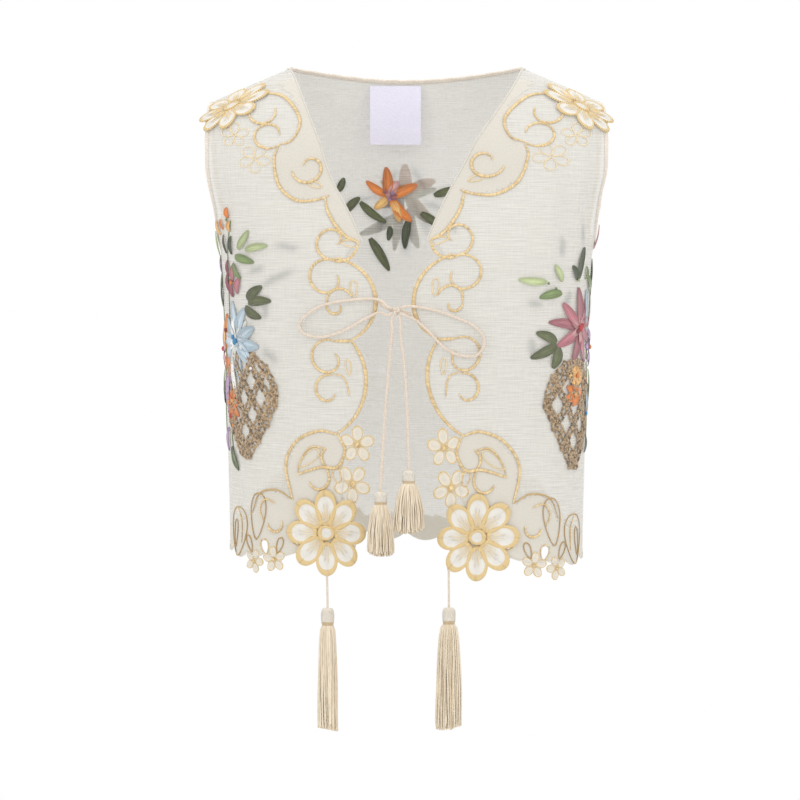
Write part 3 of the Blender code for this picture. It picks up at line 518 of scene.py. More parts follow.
def make_mesh(name, points, faces, finish, uv=None, values=None, sharp=50):
    """A piece at the origin, with its faces turned outwards."""
    mesh = bpy.data.meshes.new(name)
    mesh.from_pydata(np.asarray(points).tolist(), [], [tuple(int(i) for i in face) for face in faces])
    shape = bmesh.new()
    shape.from_mesh(mesh)
    bmesh.ops.recalc_face_normals(shape, faces=shape.faces[:])
    shape.to_mesh(mesh)
    shape.free()
    if uv is not None:
        layer = mesh.uv_layers.new(name="UVMap")
        corners = np.empty(len(mesh.loops), np.int32)
        mesh.loops.foreach_get("vertex_index", corners)
        layer.data.foreach_set("uv", np.asarray(uv, np.float32)[corners].ravel())
    store_values(mesh, values)
    mesh.shade_smooth()
    mesh.set_sharp_from_angle(angle=math.radians(sharp))
    mesh.materials.append(finish)
    return put_in_scene(name, mesh)


def tube_faces(rings, around, closed=False):
    """Faces of a tube of rings of points. It joins up with its start, or has an end cap at each end."""
    faces = [
        (around * i + k, around * i + (k + 1) % around, around * j + (k + 1) % around, around * j + k)
        for i in range(rings if closed else rings - 1)
        for j in [(i + 1) % rings]
        for k in range(around)
    ]
    if not closed:
        faces += [tuple(range(around)), tuple(around * (rings - 1) + k for k in reversed(range(around)))]
    return faces


def sheet_faces(rows, columns):
    """Faces of a thin sheet: a grid of cells, the same grid on its other side, and its border."""
    wide = columns + 1
    count = (rows + 1) * wide
    cells = [
        (r * wide + c, (r + 1) * wide + c, (r + 1) * wide + c + 1, r * wide + c + 1)
        for r in range(rows)
        for c in range(columns)
    ]
    border = (
        [(c, c + 1) for c in range(columns)]
        + [(rows * wide + c + 1, rows * wide + c) for c in range(columns)]
        + [((r + 1) * wide, r * wide) for r in range(rows)]
        + [(r * wide + columns, (r + 1) * wide + columns) for r in range(rows)]
    )
    faces = cells + [tuple(i + count for i in reversed(cell)) for cell in cells]
    return faces + [(b, a, a + count, b + count) for a, b in border]


TALLY = {}


def dress(piece, slot, *nodes):
    """Lets a piece ride on the body, names its finish, and hides the plain solids that it stands for."""
    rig.ride(piece, "root")
    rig.slot(piece, slot)
    if nodes:
        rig.replaces(piece, *nodes)
    piece.data.calc_loop_triangles()
    TALLY[piece.name] = len(piece.data.loop_triangles)
    return piece


# %% [markdown]
# ## Finishes
#
# Every finish is a Principled shader with a few procedural nodes in front of it. This class starts one
# and adds nodes to it, so that each recipe below reads as a list of what the real thread or cloth does.


# %% Helpers for finishes
class Finish:
    """A material with its node tree, its shader and a short way to add nodes."""

    def __init__(self, name, roughness, **constants):
        self.material = bpy.data.materials.new(name)
        self.material.use_nodes = True
        self.tree = self.material.node_tree
        self.shader = self.tree.nodes["Principled BSDF"]
        self.shader.inputs["Roughness"].default_value = roughness
        for socket, value in constants.items():
            self.shader.inputs[socket.replace("_", " ")].default_value = value

    def add(self, kind, out=0, **inputs):
        """Adds a node, sets or links its inputs by name or number, and returns its output."""
        node = self.tree.nodes.new(kind)
        for key, value in inputs.items():
            if hasattr(node, key):
                setattr(node, key, value)
                continue
            numbered = key[0] == "i" and key[1:].isdigit()
            socket = node.inputs[int(key[1:]) if numbered else key.replace("_", " ")]
            if isinstance(value, bpy.types.NodeSocket):
                self.tree.links.new(value, socket)
            else:
                socket.default_value = value
        return node.outputs[out]

    def uv(self):
        return self.add("ShaderNodeUVMap", uv_map="UVMap")

    def stretched(self, vector, scale):
        return self.add("ShaderNodeMapping", Vector=vector, Scale=scale)

    def noise(self, vector, scale, detail=2.0):
        return self.add("ShaderNodeTexNoise", Vector=vector, Scale=scale, Detail=detail)

    def spread(self, value, low, high, to_low=0.0, to_high=1.0):
        return self.add(
            "ShaderNodeMapRange", Value=value, From_Min=low, From_Max=high, To_Min=to_low, To_Max=to_high
        )

    def mix(self, share, first, second):
        node = self.tree.nodes.new("ShaderNodeMix")
        node.data_type = "RGBA"
        for socket, value in ((node.inputs[0], share), (node.inputs[6], first), (node.inputs[7], second)):
            if isinstance(value, bpy.types.NodeSocket):
                self.tree.links.new(value, socket)
            else:
                socket.default_value = value if isinstance(value, float) else (*value, 1.0)
        return node.outputs[2]

    def sum(self, first, second, operation="ADD"):
        return self.add("ShaderNodeMath", operation=operation, i0=first, i1=second)

    def named(self, title, colour=False):
        return self.add("ShaderNodeAttribute", out=0 if colour else 2, attribute_name=title)

    def object_place(self):
        return self.add("ShaderNodeTexCoord", out=3)

    def finish(self, colour, relief=None, strength=0.3, distance=0.0003, alpha=None):
        self.tree.links.new(colour, self.shader.inputs["Base Color"])
        if relief is not None:
            bump = self.add("ShaderNodeBump", Height=relief, Strength=strength, Distance=distance)
            self.tree.links.new(bump, self.shader.inputs["Normal"])
        if alpha is not None:
            self.tree.links.new(alpha, self.shader.inputs["Alpha"])
        return self.material


# %% [markdown]
# ### Sheer organza
#
# The cloth is woven from uneven threads: fine streaks run across it where a thicker weft thread lies, and
# fainter ones run down it. It lets some light through between the threads. Beside the scrolls a cream
# lace is laid over it, and where a ribbon's tail runs behind the cloth it shows as a grey shadow. Both
# are painted on the mesh as named values, because only the drawing knows where they are.


# %% Organza
def make_organza():
    cloth = Finish("sheer organza", 0.62, Sheen_Weight=0.15, Specular_IOR_Level=0.3)
    uv = cloth.uv()
    weft = cloth.noise(cloth.stretched(uv, (36, 1000, 1)), 1.0, 3.0)
    warp = cloth.noise(cloth.stretched(uv, (1050, 55, 1)), 1.0, 2.0)
    threads = cloth.sum(cloth.sum(weft, 0.76, "MULTIPLY"), cloth.sum(warp, 0.24, "MULTIPLY"))
    tone = cloth.spread(threads, 0.36, 0.64)
    colour = cloth.mix(tone, (0.69, 0.672, 0.625), (0.76, 0.745, 0.70))
    clouds = cloth.noise(cloth.object_place(), 9.0, 3.0)
    colour = cloth.mix(cloth.spread(clouds, 0.35, 0.7, 0.0, 0.3), colour, (0.73, 0.705, 0.64))
    lace = cloth.named("lace")
    tulle = cloth.noise(cloth.stretched(uv, (900, 900, 1)), 1.0, 1.0)
    lace_colour = cloth.mix(cloth.spread(tulle, 0.35, 0.65), (0.62, 0.58, 0.50), (0.72, 0.675, 0.59))
    colour = cloth.mix(cloth.sum(lace, 0.8, "MULTIPLY"), colour, lace_colour)
    shadow = cloth.named("shadow")
    colour = cloth.mix(cloth.sum(shadow, 0.7, "MULTIPLY"), colour, (0.36, 0.36, 0.34))
    see_through = cloth.spread(threads, 0.36, 0.64, 0.40, 0.61)
    alpha = cloth.sum(see_through, cloth.sum(lace, 0.88, "MULTIPLY"), "MAXIMUM")
    return cloth.finish(colour, threads, 0.1, 0.00025, alpha)


ORGANZA = make_organza()


# %% [markdown]
# ### Gold thread, satin, silk and cord
#
# Gold thread is a soft yellow with a sheen, each stitch a little lighter or darker than the next. The
# tone value comes from the Geometry Nodes tree that lays the stitches. Petals are white lace with a gold
# satin rim, and the value gold says which is which. Ribbon takes its colour from the value dye, which on
# the ribbon stitches also carries a painted highlight along their middle and painted shade at their edges.
# The silk finish adds painted highlight and painted shade along the ribs. The rest are plain threads.


# %% Gold, lace, ribbon and braid
def make_gold():
    gold = Finish("gold thread", 0.42, Metallic=0.12, Sheen_Weight=0.3, Specular_IOR_Level=0.6)
    tone = gold.named("tone")
    fleck = gold.noise(gold.object_place(), 900.0, 2.0)
    mixed = gold.sum(gold.sum(tone, 0.6, "MULTIPLY"), gold.sum(fleck, 0.4, "MULTIPLY"))
    colour = gold.mix(gold.spread(mixed, 0.2, 0.8), (0.47, 0.30, 0.105), (0.87, 0.69, 0.39))
    return gold.finish(colour, fleck, 0.25, 0.0002)


def make_petal_lace():
    lace = Finish("satin and lace petal", 0.5, Sheen_Weight=0.3, Specular_IOR_Level=0.5)
    uv = lace.uv()
    around = lace.stretched(uv, (1.0, 0.0, 0.0))
    wave = lace.add("ShaderNodeTexWave", Vector=around, Scale=230.0, Distortion=0.6)
    ridges = lace.add("ShaderNodeTexWave", out=1, Vector=around, Scale=230.0)
    hatch = lace.spread(wave, 0.0, 1.0)
    white = lace.mix(lace.spread(hatch, 0.2, 0.9), (0.70, 0.67, 0.60), (0.86, 0.83, 0.77))
    gold = lace.mix(hatch, (0.50, 0.34, 0.13), (0.87, 0.68, 0.36))
    colour = lace.mix(lace.named("gold"), white, gold)
    return lace.finish(colour, ridges, 0.5, 0.0004)


def make_ribbon_silk():
    silk = Finish("silk ribbon", 0.42, Sheen_Weight=0.1, Specular_IOR_Level=0.45)
    uv = silk.uv()
    ribs = silk.noise(silk.stretched(uv, (120, 1700, 1)), 1.0, 2.0)
    patches = silk.noise(silk.object_place(), 260.0, 2.0)
    dye = silk.named("dye", colour=True)
    # The ribs are the ribbon's weave; their darkened and whitened ends are painted shade and painted highlight.
    deep = silk.mix(0.4, dye, (0.02, 0.02, 0.015))
    rib_highlight = silk.mix(0.10, dye, (0.95, 0.92, 0.85))
    colour = silk.mix(silk.spread(ribs, 0.3, 0.7), deep, rib_highlight)
    colour = silk.mix(silk.spread(patches, 0.35, 0.65, 0.0, 0.6), colour, dye)
    return silk.finish(colour, ribs, 0.4, 0.0003)


def make_braid():
    braid = Finish("brown braid", 0.75, Sheen_Weight=0.4, Specular_IOR_Level=0.3)
    fibre = braid.noise(braid.object_place(), 1100.0, 2.0)
    mixed = braid.sum(braid.sum(braid.named("tone"), 0.55, "MULTIPLY"), braid.sum(fibre, 0.45, "MULTIPLY"))
    colour = braid.mix(braid.spread(mixed, 0.25, 0.75), (0.15, 0.10, 0.055), (0.50, 0.36, 0.22))
    return braid.finish(colour, fibre, 0.5, 0.0004)


GOLD, PETAL_LACE, SILK, BRAID = make_gold(), make_petal_lace(), make_ribbon_silk(), make_braid()


# %% Binding, label, cord and tassel thread
def make_plain_thread(name, dark, light, scale, roughness, toned=False):
    """Thread or closely woven cloth in two close colours."""
    thread = Finish(name, roughness, Sheen_Weight=0.3, Specular_IOR_Level=0.45)
    grain = thread.noise(thread.stretched(thread.object_place(), scale), 1.0, 2.0)
    share = thread.spread(grain, 0.3, 0.7)
    if toned:
        tone = thread.sum(thread.named("tone"), 0.65, "MULTIPLY")
        share = thread.sum(tone, thread.sum(share, 0.35, "MULTIPLY"))
    return thread.finish(thread.mix(share, dark, light), grain, 0.3, 0.0002)


FINE_GRAIN, LEVEL_GRAIN, LONG_GRAIN = (900, 900, 900), (500, 500, 2200), (700, 700, 150)
BINDING = make_plain_thread("bias binding", (0.64, 0.56, 0.47), (0.84, 0.77, 0.68), FINE_GRAIN, 0.6)
LABEL = make_plain_thread("woven tab", (0.74, 0.71, 0.84), (0.86, 0.84, 0.97), LEVEL_GRAIN, 0.42)
CORD = make_plain_thread("tie cord", (0.56, 0.46, 0.36), (0.78, 0.68, 0.58), FINE_GRAIN, 0.55)
TASSEL = make_plain_thread("tassel thread", (0.58, 0.44, 0.27), (0.90, 0.81, 0.66), LONG_GRAIN, 0.42, True)
SILVER = make_plain_thread("tassel net", (0.60, 0.57, 0.50), (0.92, 0.90, 0.86), FINE_GRAIN, 0.35)
WHITE = make_plain_thread("white thread", (0.62, 0.585, 0.52), (0.74, 0.705, 0.64), FINE_GRAIN, 0.6)
print("finishes:", len(bpy.data.materials))

# %% [markdown]
# ## The cloth panels
#
# Each panel is cut from flat organza, so its outline is drawn flat and filled with a fine net of
# triangles. The net is carried onto the skin twice, a little over half a millimetre apart, and closed
# round every cut edge. Scallops, lace flowers and the teardrop openings of the lace belong to the same
# cut.

# %% Outlines of the panels
# The right front's edge: across, height, bulge of the arc that runs to the next row
FRONT_EDGE = (
    (84.4, -58.8, -1.5),
    (66.9, -97.9, 1.5),
    (40, -146, -3),
    (54.4, -163, 26),
    (49.6, -235, 21),
    (66.8, -321, 3),
    (62, -350, 2),
    (68, -386, 2),
    (76, -428, 0),
)
NECK_TO_BUST_BULGE = 5.5
FRONT_HEM = (
    (112, -430, 2.5),
    (146, -433, 2.5),
    (167, -432, 9),
    (191, -424, 7),
    (211, -429, 6),
)
SIDE_HEM_HEIGHT = -428
BACK_HEM = (
    (207, -427, 8),
    (178, -426, 8),
    (150, -428, 2),
    (72, -428, 8),
    (38, -424, 9),
)
CENTRE_BACK_HEM = -424

# Small lace flowers at the edges: across, height, radius, turn
FRONT_LACE_FLOWERS = ((47.8, -330, 17, 20), (53.6, -366, 18, 55), (134, -437, 12, 10), (157, -440, 11, 40))
BACK_LACE_FLOWERS = ((165, -436, 12, 0), (58, -434, 12, 30))
BACK_HEM_FLOWER = (112, -404, 35, 0)

# Teardrop openings: across, height, length, width, turn
FRONT_CUTS = (
    (144, -426, 12, 6.5, 80),
    (68, -359, 11, 5.5, 75),
    (112, -418, 10, 5, 60),
)
BACK_CUTS = ((164, -414, 13, 7, 90), (58, -413, 13, 7, 90), (194, -410, 11, 6, 90))


def blossom(across, height, radius, turn, petals=5, depth=0.42, around=60):
    """The outline of a small flower."""
    angle = np.linspace(0, 2 * math.pi, around, endpoint=False)
    far = radius * (1 - depth + depth * np.abs(np.cos(petals * (angle - math.radians(turn)) / 2)))
    return np.stack([across + far * np.cos(angle), height + far * np.sin(angle)], -1)


def big_blossom(across, height, radius, turn, petals=8, around=96):
    """The outline of a big flower."""
    angle = np.linspace(0, 2 * math.pi, around, endpoint=False)
    swell = np.abs(np.cos(petals * (angle - math.radians(turn)) / 2)) ** 0.55
    far = radius * (0.64 + 0.36 * swell)
    return np.stack([across + far * np.cos(angle), height + far * np.sin(angle)], -1)


def teardrop(across, height, length, width, turn, around=22):
    """A leaf or teardrop outline, narrow at its root. The place given is its middle."""
    t = np.linspace(0, 2 * math.pi, around, endpoint=False)
    along = length / 2 * np.cos(t)
    aside = width / 2 * np.sin(t) * (1 + 0.35 * np.cos(t))
    c, s = math.cos(math.radians(turn)), math.sin(math.radians(turn))
    return np.stack([across + along * c - aside * s, height + along * s + aside * c], -1)


def closed(outline):
    """The same points with the first one again at the end."""
    return np.concatenate([outline, outline[:1]])


def neck_point():
    """Across, at the end of the shoulder seam next to the neck."""
    table = np.linspace(0.05, 0.2, 400)
    return float(np.interp(NECK_HALF, skin(table, np.zeros(400))[:, 0], table))


def armhole(behind, count=15):
    """The chart of one half of the armhole's edge, from the shoulder tip to the underarm."""
    table = np.linspace(SIDE_SEAM - 0.09, SIDE_SEAM, 500)
    across = 2 * SIDE_SEAM - table if behind else table
    found = []
    for turn in np.linspace(0.06, math.pi, count)[:-1]:
        height = ARMHOLE_MIDDLE + ARMHOLE_HALF_HEIGHT * math.cos(turn)
        wanted = (ARMHOLE_BACKWARD if behind else ARMHOLE_FORWARD) * math.sin(turn)
        down = down_at(across, np.full(500, height))
        depth = np.abs(skin(across, down)[:, 1])
        over_the_shoulder = 10 * (down < 0.002)
        pick = int(np.argmin(np.abs(depth - wanted) + over_the_shoulder))
        found.append((across[pick], down[pick]))
    underarm = down_at(SIDE_SEAM, ARMHOLE_MIDDLE - ARMHOLE_HALF_HEIGHT)
    return smooth_line(np.array([*found, (SIDE_SEAM, float(underarm))]), 0.004)


def back_neck_line(count=40):
    """The back neck edge from the centre back to the neck point, dipping a little at the middle."""
    table = np.linspace(HALF_GIRTH - 0.2, HALF_GIRTH - 0.05, 400)
    sideways = skin(table, np.zeros(400))[:, 0]
    wanted = skin(np.array([neck_point()]), np.zeros(1))[0, 0]
    neck = float(np.interp(wanted, sideways[::-1], table[::-1]))
    across = np.linspace(HALF_GIRTH, neck, count)
    rise = np.sin((across - neck) / (HALF_GIRTH - neck) * math.pi / 2)
    down = np.maximum(down_at(across, NECK_HEIGHT - BACK_NECK_DIP * rise), SEAM)
    return np.stack([across, down], -1)


def front_outline():
    neck = neck_point()
    edge_start = chart_of([FRONT_EDGE[0][:2]])[0]
    neck_edge = arc((neck / MM, SEAM / MM), edge_start / MM, NECK_TO_BUST_BULGE) * MM
    side = (SIDE_SEAM - SEAM) / MM
    edge = chart_of(chain(FRONT_EDGE, FRONT_HEM[0][:2]))
    hem = chart_of(chain(FRONT_HEM, (side, SIDE_HEM_HEIGHT)))
    scye = armhole(False)
    hem_end = chart_of([(side, SIDE_HEM_HEIGHT)])[0, 1]
    seam_down = np.linspace(hem_end, scye[-1, 1] + SEAM, 90)
    seam = np.stack([np.full(90, side * MM), seam_down], -1)
    scye = scye[::-1][1:]
    shoulder = np.stack([np.linspace(scye[-1, 0], neck, 24)[:-1], np.full(23, SEAM)], -1)
    return neck_edge, edge, hem, [seam, scye, shoulder]


def back_outline():
    """The whole back: the left half of the chart and its mirror image about the centre back."""
    half = HALF_GIRTH / MM
    side = (SIDE_SEAM + SEAM) / MM
    rows = [(side, SIDE_HEM_HEIGHT, 5)] + [(half - a, height, bulge) for a, height, bulge in BACK_HEM]
    hem = chart_of(chain(rows, (half, CENTRE_BACK_HEM)))
    scye = armhole(True)
    seam_down = np.linspace(scye[-1, 1] + SEAM, hem[0, 1], 90)[:-1]
    seam = np.stack([np.full(89, side * MM), seam_down], -1)
    neck_line = back_neck_line()
    shoulder = np.stack([np.linspace(neck_line[-1, 0], scye[0, 0], 24)[1:], np.full(23, SEAM)], -1)
    drawn = np.concatenate([neck_line, shoulder, scye[:-1], seam, hem])
    centre = chart_of([(half, CENTRE_BACK_HEM)])
    mirrored = drawn[::-1] * (-1, 1) + (2 * HALF_GIRTH, 0)
    return np.concatenate([drawn, centre, mirrored[:-1]]), hem


def both_backs(loops):
    """Chart outlines drawn from the centre back towards the left, and their mirror images."""
    return [*loops, *[loop * (-1, 1) + (2 * HALF_GIRTH, 0) for loop in loops]]


# %% Filling an outline with a net
THIN = 0.0006


def counter_clockwise(loop):
    x, y = loop.T
    return loop if (x * np.roll(y, -1) - np.roll(x, -1) * y).sum() > 0 else loop[::-1]


def inside(points, loop):
    """Whether each point lies inside a closed loop."""
    x, y = points.T
    found = np.zeros(len(points), bool)
    for (ax, ay), (bx, by) in zip(loop, np.roll(loop, -1, 0)):
        crosses = (ay > y) != (by > y)
        found ^= crosses & (x < ax + (y - ay) * (bx - ax) / np.where(by == ay, 1, by - ay))
    return found


def fill_points(outlines, holes, spacing):
    """A staggered grid inside the outlines, clear of every edge."""
    border = np.concatenate([*outlines, *holes])
    low, high = border.min(0), border.max(0)
    rows = np.arange(low[1], high[1], spacing * 0.87)
    grid = np.array([
        (x, y)
        for k, y in enumerate(rows)
        for x in np.arange(low[0] + spacing * 0.5 * (k % 2), high[0], spacing)
    ])
    keep = np.any([inside(grid, loop) for loop in outlines], axis=0)
    for hole in holes:
        keep &= ~inside(grid, hole)
    grid = grid[keep]
    tree = KDTree(len(border))
    for index, (x, y) in enumerate(border):
        tree.insert((x, y, 0), index)
    tree.balance()
    near = np.array([tree.find((x, y, 0))[2] for x, y in grid])
    return grid[near > 0.55 * spacing]


def net(outlines, holes=(), spacing=None):
    """Flat points and triangles over the union of the outlines, less the holes."""
    outlines = [counter_clockwise(np.asarray(o)) for o in outlines]
    holes = [counter_clockwise(np.asarray(h)) for h in holes]
    loops = [*outlines, *holes]
    starts = np.cumsum([0] + [len(loop) for loop in loops])
    faces = [list(range(a, b)) for a, b in zip(starts, starts[1:])]
    coords = np.concatenate(loops)
    if spacing:
        coords = np.concatenate([coords, fill_points(outlines, holes, spacing)])
    flat, _, tris, _, _, parents = delaunay_2d_cdt([Vector(c) for c in coords], [], faces, 1, 2e-5)
    count = len(outlines)
    kept = [
        t for t, p in zip(tris, parents) if any(k < count for k in p) and not any(k >= count for k in p)
    ]
    used = sorted({i for t in kept for i in t})
    number = {old: new for new, old in enumerate(used)}
    return np.array([tuple(flat[i]) for i in used]), [[number[i] for i in t] for t in kept]


def shell(name, finish, flat, tris, inner, outer, values=None):
    """The net carried onto the skin twice and closed round its rim. Its threads run level."""
    count = len(flat)
    edges = {(t[k], t[(k + 1) % 3]) for t in tris for k in range(3)}
    rim = [(b, a, a + count, b + count) for a, b in sorted(edges) if (b, a) not in edges]
    points = np.concatenate([place(flat, np.full(count, outer)), place(flat, np.full(count, inner))])
    faces = [*tris, *[tuple(i + count for i in reversed(t)) for t in tris], *rim]
    values = {key: np.concatenate([data, data]) for key, data in (values or {}).items()}
    level = np.stack([flat[:, 0], points[:count, 2]], -1)
    return make_mesh(name, points, faces, finish, np.concatenate([level, level]), values)


def area_of(flat, tris):
    a, b, c = (flat[np.array(tris)[:, k]] for k in range(3))
    return float(np.abs((b - a)[:, 0] * (c - a)[:, 1] - (b - a)[:, 1] * (c - a)[:, 0]).sum() / 2)


# %% Where the lace and the shadows lie
# Lace ground, as outlines of (across, height)
FRONT_LACE = (
    ((128, 0), (100, 6), (84, -58), (66, -98), (36, -146), (43, -150), (54, -142), (64, -132), (72, -120),
     (76, -107), (92, -110), (106, -106), (118, -96), (124, -83), (125, -70), (119, -61), (109, -52),
     (105, -37), (109, -21), (119, -10)),
    ((57, -163), (42, -168), (31, -181), (30, -199), (33, -217), (42, -229), (54, -236), (18, -238),
     (8, -200), (30, -160)),
    ((54, -236), (41, -254), (38, -270), (41, -290), (51, -309), (66, -320), (20, -322), (14, -275),
     (28, -236)),
    ((66, -320), (83, -318), (100, -325), (112, -337), (118, -354), (117, -373), (112, -382), (125, -374),
     (139, -372), (150, -382), (156, -396), (176, -403), (200, -409), (232, -413), (232, -450), (60, -460),
     (20, -380), (20, -320)),
)
BACK_LACE = (
    ((-2, -411), (40, -410), (72, -388), (92, -368), (132, -368), (152, -388), (170, -404), (200, -409),
     (229, -413), (229, -450), (-2, -450)),
)
# Grey shadows of ribbon ends behind the cloth: across, height, half length, half width, turn
RIGHT_SHADOWS = (
    (118, -179, 16, 3.6, 159), (108, -151, 13, 3.0, 12), (132, -209, 8, 3.6, 90), (130, -250, 12, 3.4, 35),
    (135, -307, 9, 3.2, 90), (140, -172, 9, 3.0, 170), (186, -216, 14, 3.2, 95), (178, -262, 13, 3.5, 100),
)
LEFT_SHADOWS = (
    (153, -152, 9, 3.4, 85), (174, -138, 9, 3.0, 100), (129, -244, 8, 4.0, 90), (160, -198, 10, 3.2, 60),
    (182, -232, 14, 3.4, 88), (158, -266, 9, 3.2, 100), (188, -262, 15, 3.4, 92), (130, -205, 8, 3.0, 10),
)
BACK_SHADOWS = (
    (-20, -120, 20, 4.0, 70), (14, -122, 18, 3.6, -65), (-40, -104, 16, 3.4, 15), (30, -112, 15, 3.4, -20),
    (0, -142, 16, 4.0, 90), (-14, -86, 12, 3.4, 60), (12, -84, 12, 3.4, -60),
)


def painted(flat, loops):
    """1 inside any of the loops, and 0 elsewhere."""
    return np.any([inside(flat, loop) for loop in loops], axis=0).astype(float)


def shaded(flat, rows, to_chart):
    """A soft dark patch for each row of (across, height, half length, half width, turn)."""
    dark = np.zeros(len(flat))
    for across, height, half_length, half_width, turn in rows:
        c, s = math.cos(math.radians(turn)), math.sin(math.radians(turn))
        middle, along = to_chart([(across, height), (across + c, height + s)])
        way = unit(along - middle)
        offset = wrapped_offset(flat - middle)
        far = (offset @ way) / (half_length * MM)
        wide = (offset @ np.array([-way[1], way[0]])) / (half_width * MM)
        dark = np.maximum(dark, np.exp(-(far**4) - wide**2))
    return dark


def wrapped_offset(offset):
    """The same offset the short way round the body."""
    offset = offset.copy()
    offset[:, 0] = wrapped(offset[:, 0])
    return offset


# %% Cut the panels
neck_edge, front_edge, front_hem, side_pieces = front_outline()
front_loop = np.concatenate([neck_edge, front_edge, front_hem, *side_pieces])
front_flowers = [chart_of(blossom(*row)) for row in FRONT_LACE_FLOWERS]
front_cuts = [chart_of(teardrop(*row)) for row in FRONT_CUTS]
front_lace = [chart_of(loop) for loop in FRONT_LACE]
cut_areas = {}
panels = {}
for word, side in SIDES:
    flat, tris = net(
        [to_side(o, side) for o in (front_loop, *front_flowers)],
        [to_side(c, side) for c in front_cuts],
        0.0032,
    )
    shadows = RIGHT_SHADOWS if side == RIGHT else LEFT_SHADOWS
    values = {
        "lace": painted(flat, [to_side(o, side) for o in front_lace]),
        "shadow": shaded(flat, shadows, on_front(side)),
    }
    panel = shell(f"front-panel-{word}", ORGANZA, flat, tris, -THIN, 0, values)
    panels[word] = dress(panel, "cloth", f"front_{word}")
    cut_areas[word] = area_of(flat, tris)
    print(panel.name, "flat area", round(cut_areas[word], 4), "m2")

back_loop, back_hem = back_outline()
back_flowers = [from_centre_back(blossom(*row)) for row in BACK_LACE_FLOWERS]
back_flowers.append(from_centre_back(big_blossom(*BACK_HEM_FLOWER)))
back_cuts = [from_centre_back(teardrop(*row)) for row in BACK_CUTS]
flat, tris = net([back_loop, *both_backs(back_flowers)], both_backs(back_cuts), 0.0038)
values = {
    "lace": painted(flat, both_backs([from_centre_back(loop) for loop in BACK_LACE])),
    "shadow": shaded(flat, BACK_SHADOWS, from_centre_back),
}
panels["back"] = dress(shell("back-panel", ORGANZA, flat, tris, -THIN, 0, values), "cloth", "back")
cut_areas["back"] = area_of(flat, tris)
for key in ("right", "left", "back"):
    flat_size = (0.47, 0.47) if key == "back" else (0.22, 0.47)
    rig.sheet(panels[key], flat=flat_size, held="hung", area=cut_areas[key])
print("back panel flat area", round(cut_areas["back"], 4), "m2")

# %% [markdown]
# ## Bindings
#
# The armholes and the back neck are bound with a bias strip folded over the raw edge. A bias strip is
# soft and rounded, and a row of small stitches holds it down near its inner fold.


# %% Fold the binding strips
BINDING_WIDTH = 0.0048
BINDING_LAP = 0.0006


def strip(name, points, normals, into, joined_up):
    """A soft folded band beside a cut edge, standing out past the cloth on both faces."""
    middle = -WALL / 2
    half = WALL / 2 + BINDING_LAP
    angle = np.linspace(0, 2 * math.pi, 12, endpoint=False)
    beside = SEAM + BINDING_WIDTH / 2 * (1 - np.sign(np.cos(angle)) * np.abs(np.cos(angle)) ** 0.55)
    above = middle + half * np.sign(np.sin(angle)) * np.abs(np.sin(angle)) ** 0.6
    uneven = 1 + 0.05 * np.sin(np.arange(len(points)) * 0.9)[:, None, None]
    rings = points[:, None] + into[:, None] * beside[None, :, None] * uneven
    rings = rings + normals[:, None] * above[None, :, None]
    return make_mesh(name, rings.reshape(-1, 3), tube_faces(len(points), len(angle), joined_up), BINDING)


def edge_frame(line, joined_up):
    """Points, outward normals, and the way off the cloth, along a cut edge."""
    points, normals = skin(*line.T), outward(*line.T)
    tangent = np.roll(points, -1, 0) - np.roll(points, 1, 0) if joined_up else np.gradient(points, axis=0)
    return points, normals, unit(np.cross(normals, tangent))


armhole_loop = np.concatenate([armhole(False)[::-1], armhole(True)[:-1]])
stitch_lines = []
for word, side in SIDES:
    line = armhole_loop * (side, 1)
    points, normals, into = edge_frame(line, True)
    into *= np.sign(((points.mean(0) - points) * into).sum(1))[:, None]
    band = strip(f"armhole-binding-{word}", points, normals, into, True)
    dress(band, "binding", f"armhole_binding_{word}")
    stitch_lines.append([closed(part) for part in (points, normals, into)])
half_neck = back_neck_line()
neck_line = np.concatenate([half_neck[::-1], half_neck[1:] * (-1, 1) + (2 * HALF_GIRTH, 0)])
points, normals, into = edge_frame(neck_line, False)
into *= np.sign(into[len(points) // 2, 2])
dress(strip("back-neck-binding", points, normals, into, False), "binding", "back_neck_binding")
stitch_lines.append([points, normals, into])
print("armhole edge:", round(length_of(stitch_lines[0][0]), 3), "m")

# %% [markdown]
# ## The tab at the back neck
#
# A pale woven tab is sewn inside the back neck by its top edge. It stays bare. Its lower corners curl a
# little and its weave runs across it.

# %% Weave the tab
LABEL_SIZE = (0.049, 0.056)
LABEL_OFF = 0.0022
LABEL_ASIDE = 0.0104
LABEL_TOP = 0.0035
LABEL_LEAN = 0.12
LABEL_THICKNESS = 0.0006


def make_tab():
    """A woven sheet, sewn on along its top edge, whose lower corners curl."""
    columns, rows = 24, 28
    u, v = np.meshgrid(np.linspace(-1, 1, columns + 1), np.linspace(0, 1, rows + 1))
    x = u * LABEL_SIZE[0] / 2 - LABEL_ASIDE
    z = LABEL_TOP - LABEL_SIZE[1] * v
    top_x = x[0]
    top_down = down_at(HALF_GIRTH - top_x, np.full(len(top_x), LABEL_TOP))
    top = place(np.stack([HALF_GIRTH - top_x, top_down], -1), np.full(len(top_x), -WALL - LABEL_OFF))
    curl = 0.0011 * v**3 * u**2 - 0.0005 * np.sin(2.2 * u + 0.8) * v
    y = top[:, 1][None, :] + LABEL_LEAN * LABEL_SIZE[1] * v - curl
    sheet = np.stack([x, y, z], -1).reshape(-1, 3)
    points = np.concatenate([sheet, sheet - (0, LABEL_THICKNESS, 0)])
    uv = np.tile(np.stack([x, z], -1).reshape(-1, 2), (2, 1))
    return make_mesh("bare-tab", points, sheet_faces(rows, columns), LABEL, uv)


dress(make_tab(), "label", "label")
print("tab:", LABEL_SIZE)

